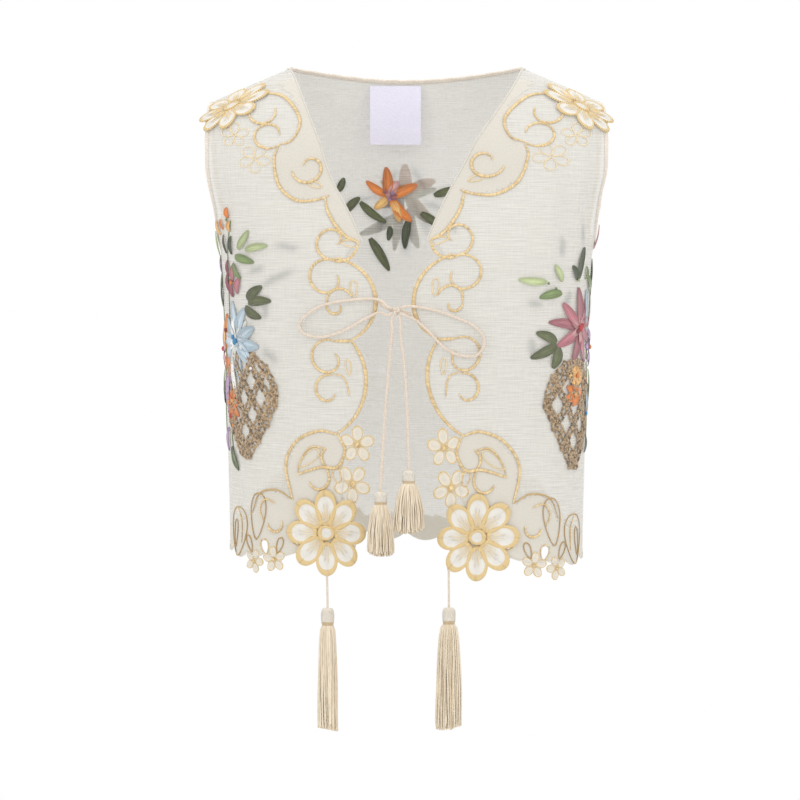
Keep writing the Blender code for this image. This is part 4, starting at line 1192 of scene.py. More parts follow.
# %% [markdown]
# ## Stitches laid by Geometry Nodes
#
# Gold cord, satin borders, knots and braid are all many small grains of thread laid along a line. One
# node tree serves them all: it puts a small rounded grain on every point and turns and stretches it by
# the values stored there. The grain has few faces because there are thousands of them. A second tree, for
# the tassels, turns lines into threads, so what both need comes first. The result is baked to a plain
# mesh.


# %% What every node tree needs
class Tree:
    """A node tree with named inputs. It takes geometry in and gives plain geometry in one finish."""

    def __init__(self, name, **inputs):
        self.tree = bpy.data.node_groups.new(name, "GeometryNodeTree")
        add = self.tree.interface.new_socket
        add("Geometry", in_out="INPUT", socket_type="NodeSocketGeometry")
        added = [
            add(title, in_out="INPUT", socket_type=f"NodeSocket{kind}")
            for title, kind in {**inputs, "Thread": "Material"}.items()
        ]
        self.sockets = [socket.identifier for socket in added]
        add("Geometry", in_out="OUTPUT", socket_type="NodeSocketGeometry")
        self.link = self.tree.links.new
        self.start = self.tree.nodes.new("NodeGroupInput")

    def node(self, kind, **inputs):
        """Adds a node and links or sets its inputs, by name."""
        node = self.tree.nodes.new(kind)
        for title, value in inputs.items():
            socket = node.inputs[title.replace("_", " ")]
            if isinstance(value, bpy.types.NodeSocket):
                self.link(value, socket)
            else:
                socket.default_value = value
        return node

    def finish(self, geometry):
        real = self.node("GeometryNodeRealizeInstances", Geometry=geometry)
        coloured = self.node(
            "GeometryNodeSetMaterial", Geometry=real.outputs[0], Material=self.start.outputs["Thread"]
        )
        end = self.tree.nodes.new("NodeGroupOutput")
        self.link(coloured.outputs[0], end.inputs["Geometry"])

    def bake(self, name, mesh, *settings):
        """The tree's result on a mesh, as a plain mesh without the tree."""
        holder = put_in_scene(name, mesh)
        modifier = holder.modifiers.new(name, "NODES")
        modifier.node_group = self.tree
        for socket, value in zip(self.sockets, settings, strict=True):
            modifier[socket] = value
        holder.update_tag()
        graph = bpy.context.evaluated_depsgraph_get()
        baked = bpy.data.meshes.new_from_object(holder.evaluated_get(graph), depsgraph=graph)
        bpy.data.objects.remove(holder, do_unlink=True)
        bpy.data.meshes.remove(mesh)
        baked.name = name
        for title in ("turn", "size"):
            if title in baked.attributes:
                baked.attributes.remove(baked.attributes[title])
        return put_in_scene(name, baked)


# %% The node tree that lays grains
def grain_tree():
    tree = Tree("lay grains", Sides="Int", Rings="Int")
    grain = tree.node(
        "GeometryNodeMeshUVSphere", Radius=1.0, Segments=tree.start.outputs["Sides"],
        Rings=tree.start.outputs["Rings"],
    )
    smooth = tree.node("GeometryNodeSetShadeSmooth", Geometry=grain.outputs["Mesh"])
    laid = tree.node(
        "GeometryNodeInstanceOnPoints", Points=tree.start.outputs["Geometry"], Instance=smooth.outputs[0]
    )
    for title, socket in (("turn", "Rotation"), ("size", "Scale")):
        named = tree.node("GeometryNodeInputNamedAttribute", Name=title)
        named.data_type = "FLOAT_VECTOR"
        tree.link(named.outputs["Attribute"], laid.inputs[socket])
    tree.finish(laid.outputs["Instances"])
    return tree


GRAIN_TREE = grain_tree()


def turns_of(x_way, z_way):
    """Euler turns that point each grain's X and Z along the two ways given."""
    x_way = unit(x_way)
    y_way = unit(np.cross(z_way, x_way))
    z_way = np.cross(x_way, y_way)
    pitch = np.arcsin(np.clip(-x_way[:, 2], -1, 1))
    return np.stack([np.arctan2(y_way[:, 2], z_way[:, 2]), pitch, np.arctan2(x_way[:, 1], x_way[:, 0])], -1)


def lay_grains(name, finish, points, x_way, z_way, sizes, values, sides, rings):
    """A plain mesh of grains, one at each point, with half sizes along X, Y and Z."""
    mesh = bpy.data.meshes.new(name)
    mesh.from_pydata(np.asarray(points).tolist(), [], [])
    vectors = {"turn": turns_of(x_way, z_way), "size": np.broadcast_to(sizes, (len(points), 3))}
    for title, data in vectors.items():
        layer = mesh.attributes.new(title, "FLOAT_VECTOR", "POINT").data
        layer.foreach_set("vector", np.asarray(data, np.float32).ravel())
    store_values(mesh, values)
    return GRAIN_TREE.bake(name, mesh, sides, rings, finish)


DICE = np.random.default_rng(1908)

# %% [markdown]
# ## Gold scrolls
#
# The scrolls are satin stitch: slanted stitches of soft gold silk packed side by side along a drawn line,
# wide in the middle of each stroke and fine at its ends. Every stroke ends in a curl, which is a spiral
# that shrinks towards its middle. The two fronts mirror each other.

# %% Draw the scrolls
# Each row of points is one stroke: across, height
SCROLLS = (
    ((145, -10), (121, -14), (105, -36), (110, -54), (121, -59)),
    ((121, -59), (124, -73), (118, -96), (102, -109), (84, -109), (73, -105)),
    ((76, -107), (72, -120), (64, -132), (54, -142), (43, -147)),
    ((43, -147), (45, -155), (53, -163), (61, -161)),
    ((53, -163), (58, -164), (64, -164)),
    ((50, -236), (58, -236), (66, -236)),
    ((66, -321), (85, -318), (107, -328), (119, -350), (113, -381)),
    ((66, -321), (60, -336), (68, -351), (84, -351), (107, -358)),
)
# Strokes along the scalloped edge itself: the two ends and the bulge
EDGE_STROKES = (((54.4, -164), (50.4, -235), 24.8), ((50, -236), (66.8, -320), 19.8))
# Finer strokes
FINE_STROKES = (
    ((68, -266), (60, -268), (56, -275), (54, -286)),
    ((58, -146), (49, -144), (43, -147)),
    ((78, -334), (93, -333), (104, -347), (107, -358)),
    ((132, -385), (142, -382), (148, -391), (145, -401)),
    ((178, -393), (173, -404), (174, -424)),
)
# Curls: across and height of the middle, across and height of the start, degrees of turn, share of the
# radius left at the end, and how late it shrinks
CURLS = (
    (130, -50, 121, -59, 315, 0.7, 1.0),
    (136, -29, 146, -27, -215, 1.0, 1.0),
    (93, -80, 108, -83, -326, 0.42, 1.0),
    (66, -148, 60, -161, 307, 0.30, 4.0),
    (71, -178, 64, -164, -305, 0.60, 4.0),
    (60, -200, 71, -203, 175, 1.0, 1.0),
    (63, -205, 72, -204, -195, 0.4, 1.0),
    (72, -251, 66, -236, -320, 0.42, 2.6),
    (73, -281, 70, -267, -250, 0.45, 1.6),
    (88, -362, 79, -352, 205, 0.55, 1.0),
    (74, -342, 78, -334, -116, 1.0, 1.0),
    (132, -404, 140, -404, -200, 0.9, 1.0),
)
# Little leaves beside the scrolls, drawn in outline: across, height, length, width, turn
LEAVES = (
    (51, -148, 16, 5.5, 190),
    (86, -95, 13, 5, 20),
    (47, -189, 15, 6, 85),
    (54, -260, 14, 5, 85),
    (95, -343, 25, 9, 140),
)
# Leaves and buds at the hem, in a fine brown-gold thread, same columns
HEM_LEAVES = (
    (179, -414, 46, 25, 99),
    (184, -416, 26, 6, 99),
    (151, -398, 43, 16, 97),
    (162, -424, 16, 6, 70),
    (128, -424, 15, 6, 110),
)
HEM_STROKES = (((113, -381), (130, -373), (148, -377), (157, -395)),)
# Faint little flowers under the shoulder flower: across, height, radius, turn
FAINT_FLOWERS = ((157, -49, 11, 20), (140, -71, 13, 50))
SCROLL_WIDTH = 3.9
CURL_WIDTH = 3.3
SATIN_PITCH = 0.85
SATIN_OUT, FINE_OUT = 0.0008, 0.0007


def spiral(across, height, start_across, start_height, degrees, last, late):
    """A curl from its start round and in towards its middle."""
    reach_out = math.hypot(start_across - across, start_height - height)
    first = math.atan2(start_height - height, start_across - across)
    t = np.linspace(0, 1, 26)
    far = reach_out * (1 - (1 - last) * t**late)
    angle = first + math.radians(degrees) * t
    return np.stack([across + far * np.cos(angle), height + far * np.sin(angle)], -1)


class Stitches:
    """Grains gathered from many lines, so that they become one mesh."""

    def __init__(self):
        self.rows = []

    def add(self, points, x_way, z_way, sizes, tone=None, dye=None):
        count = len(points)
        sizes = np.broadcast_to(sizes, (count, 3))
        tone = DICE.uniform(0, 1, count) if tone is None else np.broadcast_to(tone, count)
        dye = np.broadcast_to((1.0, 1.0, 1.0) if dye is None else dye, (count, 3))
        self.rows.append((points, x_way, z_way, sizes, tone, dye))

    def satin(self, chart, out, width, pitch=SATIN_PITCH, slant=0.45, taper=0.65, height=0.6, tone=None):
        """Slanted stitches side by side along a line on the chart. Widths are in millimetres."""
        line = smooth_line(chart, pitch * MM)
        points, way, normals, aside = course(line, out)
        t = np.linspace(0, 1, len(line))
        wide = width * (1 - taper + taper * np.sin(math.pi * t) ** 0.5) * DICE.uniform(0.9, 1.08, len(t))
        sizes = np.stack([wide / 2, np.full(len(t), pitch * 0.64), height * (0.6 + 0.4 * wide / width)], -1)
        tone = DICE.uniform(0.3, 1, len(t)) if tone is None else tone
        self.add(points, aside + slant * way, normals, sizes * MM, tone)

    def knot(self, chart, out, radius, dye=None):
        """A French knot: one round grain and a ring of smaller ones. The radius is in millimetres."""
        middle = place(chart, np.full(len(chart), out))
        normals = outward(*np.asarray(chart).T)
        across = unit(np.cross(normals, (0.0, 0.0, 1.0)))
        up = np.cross(across, normals)
        self.add(middle, across, normals, np.full(3, radius * 0.62 * MM), None, dye)
        for k in range(6):
            a = k * math.pi / 3
            ring = middle + (across * math.cos(a) + up * math.sin(a)) * radius * 0.62 * MM
            way = up * math.cos(a) - across * math.sin(a)
            self.add(ring, way, normals, np.array([0.5, 0.3, 0.42]) * radius * MM, None, dye)

    def lay(self, name, finish, sides=6, rings=4, dyed=False):
        points, x_way, z_way, sizes, tone, dye = (np.concatenate(part) for part in zip(*self.rows))
        values = {"dye": dye} if dyed else {"tone": tone}
        return lay_grains(name, finish, points, x_way, z_way, sizes, values, sides, rings)


for word, side in SIDES:
    gold = Stitches()
    to_chart = on_front(side)
    for stroke in SCROLLS:
        gold.satin(to_chart(smooth_line(stroke, 3)), SATIN_OUT, SCROLL_WIDTH)
    for first, last, bulge in EDGE_STROKES:
        gold.satin(to_chart(np.vstack([arc(first, last, bulge), last])), SATIN_OUT, SCROLL_WIDTH + 0.6)
    for stroke in FINE_STROKES:
        gold.satin(to_chart(smooth_line(stroke, 3)), FINE_OUT, 2.0)
    for curl in CURLS:
        gold.satin(to_chart(spiral(*curl)), SATIN_OUT, CURL_WIDTH)
    for leaf in LEAVES:
        gold.satin(to_chart(closed(teardrop(*leaf))), 0.0006, 1.2, taper=0.0, height=0.4, tone=0.9)
    for across, height, radius, turn in FAINT_FLOWERS:
        for k in range(5):
            way = math.radians(turn + 72 * k)
            spot = (across + 0.55 * radius * math.cos(way), height + 0.55 * radius * math.sin(way))
            petal = closed(teardrop(*spot, 0.9 * radius, 0.6 * radius, turn + 72 * k))
            gold.satin(to_chart(petal), 0.0005, 0.9, taper=0.0, height=0.3, tone=1.0)
    for leaf in HEM_LEAVES:
        gold.satin(to_chart(closed(teardrop(*leaf))), 0.0006, 1.5, taper=0.0, height=0.4, tone=-0.15)
    for stroke in HEM_STROKES:
        gold.satin(to_chart(smooth_line(stroke, 3)), FINE_OUT, 2.2, tone=0.2)
    for cut in FRONT_CUTS:
        outline = teardrop(cut[0], cut[1], cut[2] + 2, cut[3] + 2, cut[4])
        gold.satin(to_chart(closed(outline)), 0.0005, 1.3, taper=0.0, height=0.4)
    scrolls = gold.lay(f"gold-scrolls-{word}", GOLD)
    dress(scrolls, "gold", f"scroll_cording_{word}")
    print(scrolls.name, "triangles", TALLY[scrolls.name])

# %% [markdown]
# ## Edges
#
# The scalloped edges are corded: a fine white cord follows every cut edge so that it can't fray, and
# holds the scallop's curve. Bindings have one row of small stitches.

# %% Cord the edges
for word, side in SIDES:
    white = Stitches()
    edge = np.concatenate([neck_edge, front_edge, front_hem, [side_pieces[0][0]]])
    white.satin(to_side(edge, side), 0.0001, 1.6, pitch=0.9, slant=0.6, taper=0.0, height=0.7)
    dress(white.lay(f"corded-front-edge-{word}", WHITE), "cloth")
white = Stitches()
for loop in both_backs([back_hem]):
    white.satin(loop, 0.0002, 2.0, pitch=1.0, slant=0.6, taper=0.0, height=0.8)
for cut in both_backs([from_centre_back(teardrop(*row)) for row in BACK_CUTS]):
    white.satin(closed(cut), 0.0003, 1.3, pitch=0.9, taper=0.0, height=0.5)
dress(white.lay("corded-back-hem", WHITE), "cloth")

topstitch = Stitches()
for points, normals, into in stitch_lines:
    travelled = np.concatenate([[0], np.cumsum(np.linalg.norm(np.diff(points, axis=0), axis=1))])
    at = np.linspace(0, travelled[-1], round(travelled[-1] / 0.0026))
    where, out_way, into_way = (
        np.stack([np.interp(at, travelled, values) for values in part.T], -1)
        for part in (points, normals, into)
    )
    along = unit(np.gradient(where, axis=0))
    for face in (1, -1):
        height = -WALL / 2 + face * (WALL / 2 + BINDING_LAP + 0.0001)
        spots = where + into_way * (SEAM + 0.0010) + out_way * height
        topstitch.add(spots, along, out_way * face, np.array([0.9, 0.2, 0.2]) * MM)
dress(topstitch.lay("binding-stitches", WHITE, 5, 3), "binding")


# %% [markdown]
# ## Appliqued flowers
#
# The big flowers are made petal by petal. A petal is white lace with a padded gold satin rim, which is
# thickest at its tip. The rim stands up because it is worked over a cord. The stitches of the rim cross
# it at right angles. An oval button of lace ringed in gold covers the roots, and long gold stitches run
# out from it.

# %% One petal
HEM_FLOWER = (80, -411, 39, 0)
SHOULDER_FLOWER = (159, -59, 27, 10)
RIDE = 0.0009
SHOULDER_LIFT = 0.0017
BACK_LIFT = -0.0002
RAY_LIFT = 0.0016
AROUND = 30


def petal_rings(rim_width, height):
    """Rings of one petal as (share of its reach, height in millimetres, gold), at each angle round it."""
    angle = np.linspace(0, 2 * math.pi, AROUND, endpoint=False)
    start = 1 - rim_width * (1.3 + 0.5 * np.clip(np.cos(angle), 0, 1) ** 2)
    full = np.ones(AROUND)
    rings = [
        (start * 0.35, 0.62 * full, 0),
        (start * 0.75, 0.58 * full, 0),
        (start - 0.03, 0.50 * full, 0),
        (start + 0.03, 0.85 * full, 1),
        ((start + 1) / 2, 1.0 * full, 1),
        (full * 0.97, 0.80 * full, 1),
        (full, 0.45 * full, 1),
        (full, 0.0 * full, 1),
        (full * 0.5, 0.0 * full, 0),
    ]
    return angle, [(share, level * height, gold) for share, level, gold in rings]


def flower(name, to_chart, across, height, radius, turn, petals, lift, rim=0.2, tall=2.1, plump=1.93,
           cream=0.0):
    """A flower of separate petals round a button, as one mesh. Radius and tall are in millimetres."""
    points, faces, gold_values, uvs = [], [], [], []

    def disc(middle, long_half, wide_half, way, rim_width, level, rise):
        c, s = math.cos(way), math.sin(way)
        angle, rings = petal_rings(rim_width, level)
        flat, outs, golds, uv = [middle], [rings[0][1][0]], [0.0], [(0.0, 0.0)]
        perimeter = 2 * math.pi * (long_half + wide_half) / 2
        egg = 1 + 0.12 * np.cos(angle)
        for share, levels, gold in rings:
            along, aside = long_half * np.cos(angle) * share, wide_half * np.sin(angle) * egg * share
            x, y = middle[0] + along * c - aside * s, middle[1] + along * s + aside * c
            flat.extend(np.stack([x, y], -1))
            outs.extend(levels + rise * (np.cos(angle) * share))
            golds.extend([float(gold or cream)] * AROUND)
            uv.extend(np.stack([angle / (2 * math.pi) * perimeter * MM, share * wide_half * MM], -1))
        flat.append(middle)
        outs.append(0.0)
        golds.append(0.0)
        uv.append((0.0, 0.0))
        base = sum(len(part) for part in points)
        faces.extend((base, base + 1 + k, base + 1 + (k + 1) % AROUND) for k in range(AROUND))
        for ring in range(len(rings) - 1):
            a, b = base + 1 + ring * AROUND, base + 1 + (ring + 1) * AROUND
            faces.extend((a + k, b + k, b + (k + 1) % AROUND, a + (k + 1) % AROUND) for k in range(AROUND))
        last = base + 1 + (len(rings) - 1) * AROUND
        faces.extend((last + k, last + AROUND, last + (k + 1) % AROUND) for k in range(AROUND))
        points.append(place(to_chart(np.array(flat, float)), np.array(outs) * MM + lift))
        gold_values.extend(golds)
        uvs.extend(uv)

    middle = np.array([across, height], float)
    for k in range(petals):
        way = math.radians(turn + 360 * k / petals)
        uneven = 1 + 0.04 * math.sin(5.1 * k + across)
        far = radius * (1.015 - 0.42 * uneven)
        spot = middle + far * np.array([math.cos(way), math.sin(way)])
        disc(spot, radius * 0.42 * uneven, radius * plump / petals, way, rim, tall, 0.25 * tall)
    disc(middle, radius * 0.22, radius * 0.18, math.radians(turn), 0.26, tall * 1.25, 0.0)
    return make_mesh(name, np.concatenate(points), faces, PETAL_LACE, uvs, {"gold": gold_values}, 60)


def rays(stitches, to_chart, across, height, radius, turn, petals, out):
    """Long gold stitches that run out from the button along each petal."""
    for k in range(petals * 4):
        way = math.radians(turn + 360 / petals * (k // 4) + 7.5 * (k % 4 - 1.5))
        near, far = radius * 0.2, radius * (0.7 if k % 4 in (1, 2) else 0.58) * DICE.uniform(0.93, 1.05)
        ends = [(across + r * math.cos(way), height + r * math.sin(way)) for r in (near, far)]
        start, end = place(to_chart(ends), np.full(2, out))
        normal = outward(*to_chart([ends[0]]).T)
        reach_half = np.linalg.norm(end - start) / 2
        sizes = (reach_half, 0.00036, 0.00036)
        stitches.add(((start + end) / 2)[None], (end - start)[None], normal, sizes, 0.95)


def on_shoulder(side):
    """A function that carries millimetres across and up from the shoulder seam onto the shoulder."""
    return lambda points: to_side(np.asarray(points, float) * (MM, -MM), side)


# %% Sew the flowers on
for word, side in SIDES:
    stitches = Stitches()
    hem_flower = flower(f"hem-flower-{word}", on_front(side), *HEM_FLOWER, 8, RIDE, plump=2.2)
    dress(hem_flower, "applique", f"hem_flower_{word}")
    rays(stitches, on_front(side), *HEM_FLOWER, 8, RIDE + RAY_LIFT)
    shoulder_flower = flower(
        f"shoulder-flower-{word}", on_shoulder(side), *SHOULDER_FLOWER, 8, SHOULDER_LIFT, rim=0.15, tall=1.5
    )
    dress(shoulder_flower, "applique", f"shoulder_flower_{word}")
    rays(stitches, on_shoulder(side), *SHOULDER_FLOWER, 8, SHOULDER_LIFT + RAY_LIFT)
    back_flower = flower(f"back-hem-flower-{word}", on_back(side), *BACK_HEM_FLOWER, 8, BACK_LIFT)
    dress(back_flower, "applique")
    rays(stitches, on_back(side), *BACK_HEM_FLOWER, 8, BACK_LIFT + RAY_LIFT)
    for number, row in enumerate(FRONT_LACE_FLOWERS):
        name = f"lace-flower-{word}-{number}"
        dress(flower(name, on_front(side), *row, 5, -0.0001, 0.12, 0.6, 1.5, 0.22), "applique")
        stitches.knot(on_front(side)([row[:2]]), 0.0014, row[2] * 0.16)
    for number, row in enumerate(BACK_LACE_FLOWERS):
        name = f"back-lace-flower-{word}-{number}"
        dress(flower(name, on_back(side), *row, 5, -0.0001, 0.2, 0.9, 1.5, 0.15), "applique")
    dress(stitches.lay(f"gold-rays-{word}", GOLD), "gold")
print("petals on a big flower: 8")

# %% [markdown]
# ## Ribbon embroidery
#
# Beside each side seam a spray is worked in silk ribbon. A ribbon stitch is one length of ribbon that
# comes up at its root, lies on the cloth and goes down through its own tip, so it cups and comes to a
# point. The spray carries on round the side, out of sight of the photograph. Knots of thread fill the
# flower centres.

# %% Dyes and sprays
DYES = {
    "rose": (0.40, 0.13, 0.16),
    "pale rose": (0.62, 0.33, 0.33),
    "maroon": (0.22, 0.03, 0.06),
    "orange": (0.76, 0.22, 0.035),
    "apricot": (0.82, 0.45, 0.15),
    "dark green": (0.045, 0.062, 0.028),
    "olive": (0.085, 0.10, 0.035),
    "green": (0.17, 0.24, 0.08),
    "pale green": (0.43, 0.50, 0.25),
    "ice": (0.42, 0.52, 0.59),
    "blue": (0.02, 0.24, 0.50),
    "mauve": (0.42, 0.27, 0.46),
    "white": (0.85, 0.84, 0.79),
    "red": (0.55, 0.03, 0.045),
}


def rosette(across, height, count, length, width, turn, dye, squash=1.0):
    """Rows for a flower of ribbon petals round a place."""
    rows = []
    for k in range(count):
        way = turn + 360 * k / count
        uneven = 1 + 0.09 * math.sin(3.7 * k + across)
        share = math.hypot(math.cos(math.radians(way)) * squash, math.sin(math.radians(way)))
        rows.append((across, height, length * uneven * share, width, way, dye))
    return rows


# Each row: across and height of the root, length, width, turn, dye
RIGHT_SPRAY = (
    (171, -125, 10, 5, 90, "orange"), (181, -135, 10, 5, 80, "orange"), (171, -137, 10, 5, 96, "apricot"),
    (190, -140, 14, 6, 70, "apricot"), (181, -157, 17, 5, 86, "dark green"),
    (172, -158, 17, 5, 96, "dark green"),
    (161, -153, 22, 7, 130, "pale green"), (152, -154, 26, 7, 171, "pale green"),
    (166, -160, 25, 8, 192, "green"),
    (174, -197, 17, 8, 78, "maroon"), (167, -194, 16, 8, 112, "rose"), (182, -193, 18, 8, 70, "maroon"),
    (173, -183, 16, 8, 100, "rose"), (181, -178, 15, 7, 92, "maroon"), (170, -166, 18, 6, 232, "green"),
    (153, -198, 22, 9, 150, "olive"), (151, -202, 26, 9, 176, "olive"), (155, -206, 21, 9, 208, "olive"),
    *rosette(171, -238, 10, 36, 12, 8, "ice", 0.78),
    *rosette(171, -238, 7, 26, 8, 28, "white", 0.8),
    (196, -213, 36, 10, 268, "orange"), (191, -246, 28, 11, 262, "orange"),
    (202, -220, 30, 8, 268, "apricot"),
    (183, -250, 40, 8, 256, "white"), (191, -262, 46, 9, 267, "mauve"), (187, -284, 38, 11, 261, "orange"),
    (186, -287, 24, 6, 88, "mauve"), (191, -300, 18, 6, 94, "mauve"), (196, -340, 22, 7, 95, "mauve"),
    *rosette(182, -295, 7, 17, 8, 20, "orange", 0.85),
    (188, -336, 25, 7, 238, "dark green"), (176, -356, 20, 7, 62, "green"),
    (212, -205, 30, 9, 100, "dark green"), (214, -206, 26, 9, 60, "green"),
    *rosette(214, -246, 7, 18, 9, 12, "pale rose"),
    (210, -292, 28, 9, 85, "pale green"), (214, -296, 24, 9, 120, "dark green"),
    (208, -160, 24, 8, 95, "pale green"), (212, -176, 18, 8, 70, "mauve"),
)
LEFT_SPRAY = (
    (170, -180, 14, 6, 116, "dark green"), (171, -180, 31, 7, 78, "dark green"),
    (190, -178, 12, 6, 90, "green"),
    (138, -185, 22, 7, 178, "pale green"), (153, -183, 16, 6, 118, "pale green"),
    (153, -193, 21, 8, 198, "green"),
    *rosette(176, -223, 9, 34, 9.5, 16, "rose", 0.94),
    *rosette(176, -223, 6, 17, 6, 34, "pale rose", 0.9),
    (150, -238, 20, 9, 158, "olive"), (150, -240, 26, 9, 212, "olive"), (152, -242, 20, 9, 258, "olive"),
    *rosette(174, -266, 6, 11, 8, 0, "apricot"),
    *rosette(172, -283, 6, 12, 8, 25, "orange"),
    (196, -227, 40, 7, 92, "ice"), (204, -222, 34, 7, 84, "white"), (197, -304, 30, 7, 92, "ice"),
    (198, -336, 17, 7, 88, "dark green"),
    (214, -190, 30, 9, 96, "dark green"), (212, -194, 26, 9, 130, "green"),
    *rosette(214, -240, 7, 18, 9, 20, "mauve"),
    (212, -288, 28, 9, 95, "pale green"), (215, -294, 24, 9, 60, "dark green"),
    (210, -150, 22, 8, 88, "pale rose"),
)
# Knots: across, height, radius, dye
RIGHT_KNOTS = (
    (171, -238, 3.6, "blue"), (175, -234, 2.6, "blue"), (167, -241, 2.4, "ice"), (173, -184, 2.2, "orange"),
    (171, -126, 1.6, "green"), (185, -307, 2.4, "red"), (180, -293, 2.0, "apricot"),
    (196, -228, 2.2, "maroon"),
    (214, -246, 2.6, "red"), (191, -320, 2.0, "mauve"), (150, -262, 1.8, "white"),
)
LEFT_KNOTS = (
    (176, -223, 3.6, "red"), (180, -220, 2.6, "red"), (172, -226, 2.6, "maroon"),
    (174, -266, 2.2, "orange"),
    (195, -300, 2.4, "blue"), (172, -283, 2.2, "apricot"), (170, -180, 1.8, "pale green"),
    (214, -240, 2.6, "orange"), (192, -252, 2.0, "white"), (139, -186, 1.5, "green"),
    (146, -190, 1.5, "green"),
)
STEMS = (
    ((192, -245), (187, -200), (181, -162), (168, -128)),
    ((178, -250), (184, -290), (186, -330), (176, -357)),
    ((200, -250), (210, -220), (212, -176), (208, -160)),
    ((200, -250), (212, -290), (208, -330)),
)


RIBBON_THICKNESS = 0.00045
FRENCH_KNOT_OUT = 0.0026
RIBBON_LIFT = 0.0002


def ribbon_petals(name, rows, to_chart, inner=False, lift=RIBBON_LIFT):
    """Cupped, pointed ribbons as one mesh, each a closed pillow of a few faces."""
    long, wide = 14, 8
    u, v = np.meshgrid(np.linspace(0, 1, long + 1), np.linspace(-1, 1, wide + 1), indexing="ij")
    cells = sheet_faces(long, wide)
    outline = np.sin(math.pi * np.clip(u, 0.03, 0.985) ** 0.85) ** 0.46
    face = -1 if inner else 1
    points, faces, dyes_and_highlights, uvs = [], [], [], []
    for number, (across, height, length, width, turn, dye) in enumerate(rows):
        sway = 0.05 * math.sin(2.3 * number) * length
        along = u * length
        aside = v * width / 2 * outline + sway * np.sin(math.pi * u)
        c, s = math.cos(math.radians(turn)), math.sin(math.radians(turn))
        flat = np.stack([across + along * c - aside * s, height + along * s + aside * c], -1).reshape(-1, 2)
        arch = 1.5 * np.sin(math.pi * u) ** 0.8
        cup = 0.7 * v**2 * np.sin(math.pi * u)
        gathers = 0.22 * np.cos(v * 7 + number) * np.exp(-3 * u) + 0.12 * np.sin(14 * v + 3 * u)
        layer = 0.14 * (number % 5)
        top = (0.55 + layer + arch * 0.6 + cup + gathers).reshape(-1) * MM
        bottom = top - RIBBON_THICKNESS
        chart = to_chart(flat)
        base = sum(len(part) for part in points)
        faces += [tuple(base + i for i in cell) for cell in cells]
        points += [place(chart, face * (level + lift) - (THIN if inner else 0)) for level in (top, bottom)]
        shade = 0.82 + 0.36 * DICE.uniform()
        tint = np.clip(np.array(DYES[dye]) * shade, 0, 0.95)
        # Painted highlight down the middle of each ribbon and painted shade at its edges, laid into its dye colour.
        painted_highlight_and_shade = 0.45 * np.sin(math.pi * u) * np.exp(-(((v - 0.25 * math.sin(number)) / 0.45) ** 2)) - 0.12
        streaks = 0.10 * np.sin(9 * v + 2.1 * number)
        fade = (1.0 + painted_highlight_and_shade + streaks).reshape(-1, 1)
        dyes_and_highlights.append(np.clip(np.tile(tint * fade, (2, 1)), 0, 1))
        uvs.append(np.tile(np.stack([along.reshape(-1), (v * width / 2).reshape(-1)], -1) * MM, (2, 1)))
    return make_mesh(name, np.concatenate(points), faces, SILK, np.concatenate(uvs),
                     {"dye": np.concatenate(dyes_and_highlights)}, 70)


# %% Embroider the sprays
for word, side, rows, knots in (
    ("right", RIGHT, RIGHT_SPRAY, RIGHT_KNOTS),
    ("left", LEFT, LEFT_SPRAY, LEFT_KNOTS),
):
    spray = ribbon_petals(f"ribbon-spray-{word}", rows, on_front(side))
    dress(spray, "ribbon", f"side_ribbons_{word}")
    fine = Stitches()
    for across, height, radius, dye in knots:
        fine.knot(on_front(side)([(across, height)]), FRENCH_KNOT_OUT, radius, DYES[dye])
    for stem in STEMS if side == RIGHT else STEMS[2:]:
        line = smooth_line(on_front(side)(stem), 0.0018)
        points, way, normals, aside = course(line, 0.0006)
        fine.add(points, way + 0.3 * aside, normals, np.array([1.3, 0.55, 0.5]) * MM, None, DYES["green"])
    dress(fine.lay(f"knots-and-stems-{word}", SILK, dyed=True), "ribbon")
    print(spray.name, "petals", len(rows))

# %% [markdown]
# ## Baskets
#
# The spray grows out of a lattice basket worked in thick brown chain stitch. Each link is an almond loop
# of soft thread that the next one holds down, so it is laid as a small ring of grains. The lines of links
# cross in diamonds inside a rim shaped like a pointed shield.

# %% Plait the baskets
LATTICES = {"right": (162, -289, 35, 47), "left": (173, -294, 29, 47)}
LINK_SIZE = (9.2, 4.9)
LINK_PITCH = 7.6
LATTICE_ROWS = 4
LATTICE_PITCH = 16.5
LATTICE_TURN = math.radians(58)


def lattice_lines(middle_across, middle_height, half_width, half_height):
    """The rim and the crossing lines, as lines of (across, height)."""
    angle = np.linspace(0, 2 * math.pi, 61)
    taper = 1 - 0.62 * np.clip(-np.sin(angle), 0, 1)
    lengthened = np.where(np.sin(angle) > 0, 0.85, 1.15)
    rim = np.stack([
        middle_across + half_width * np.cos(angle) * taper,
        middle_height + half_height * lengthened * np.sin(angle),
    ], -1)
    lines = [rim]
    middle = np.array([middle_across, middle_height])
    reaches = np.linspace(-80, 80, 321)[:, None]
    for slope in (1, -1):
        direction = np.array([math.cos(LATTICE_TURN), slope * math.sin(LATTICE_TURN)])
        aside = np.array([-direction[1], direction[0]])
        for k in range(LATTICE_ROWS):
            offset = (k - (LATTICE_ROWS - 1) / 2) * LATTICE_PITCH
            line = middle + aside * offset + reaches * direction
            line = line[inside(line, rim[:-1])]
            lines.append(line[::8])
    return lines


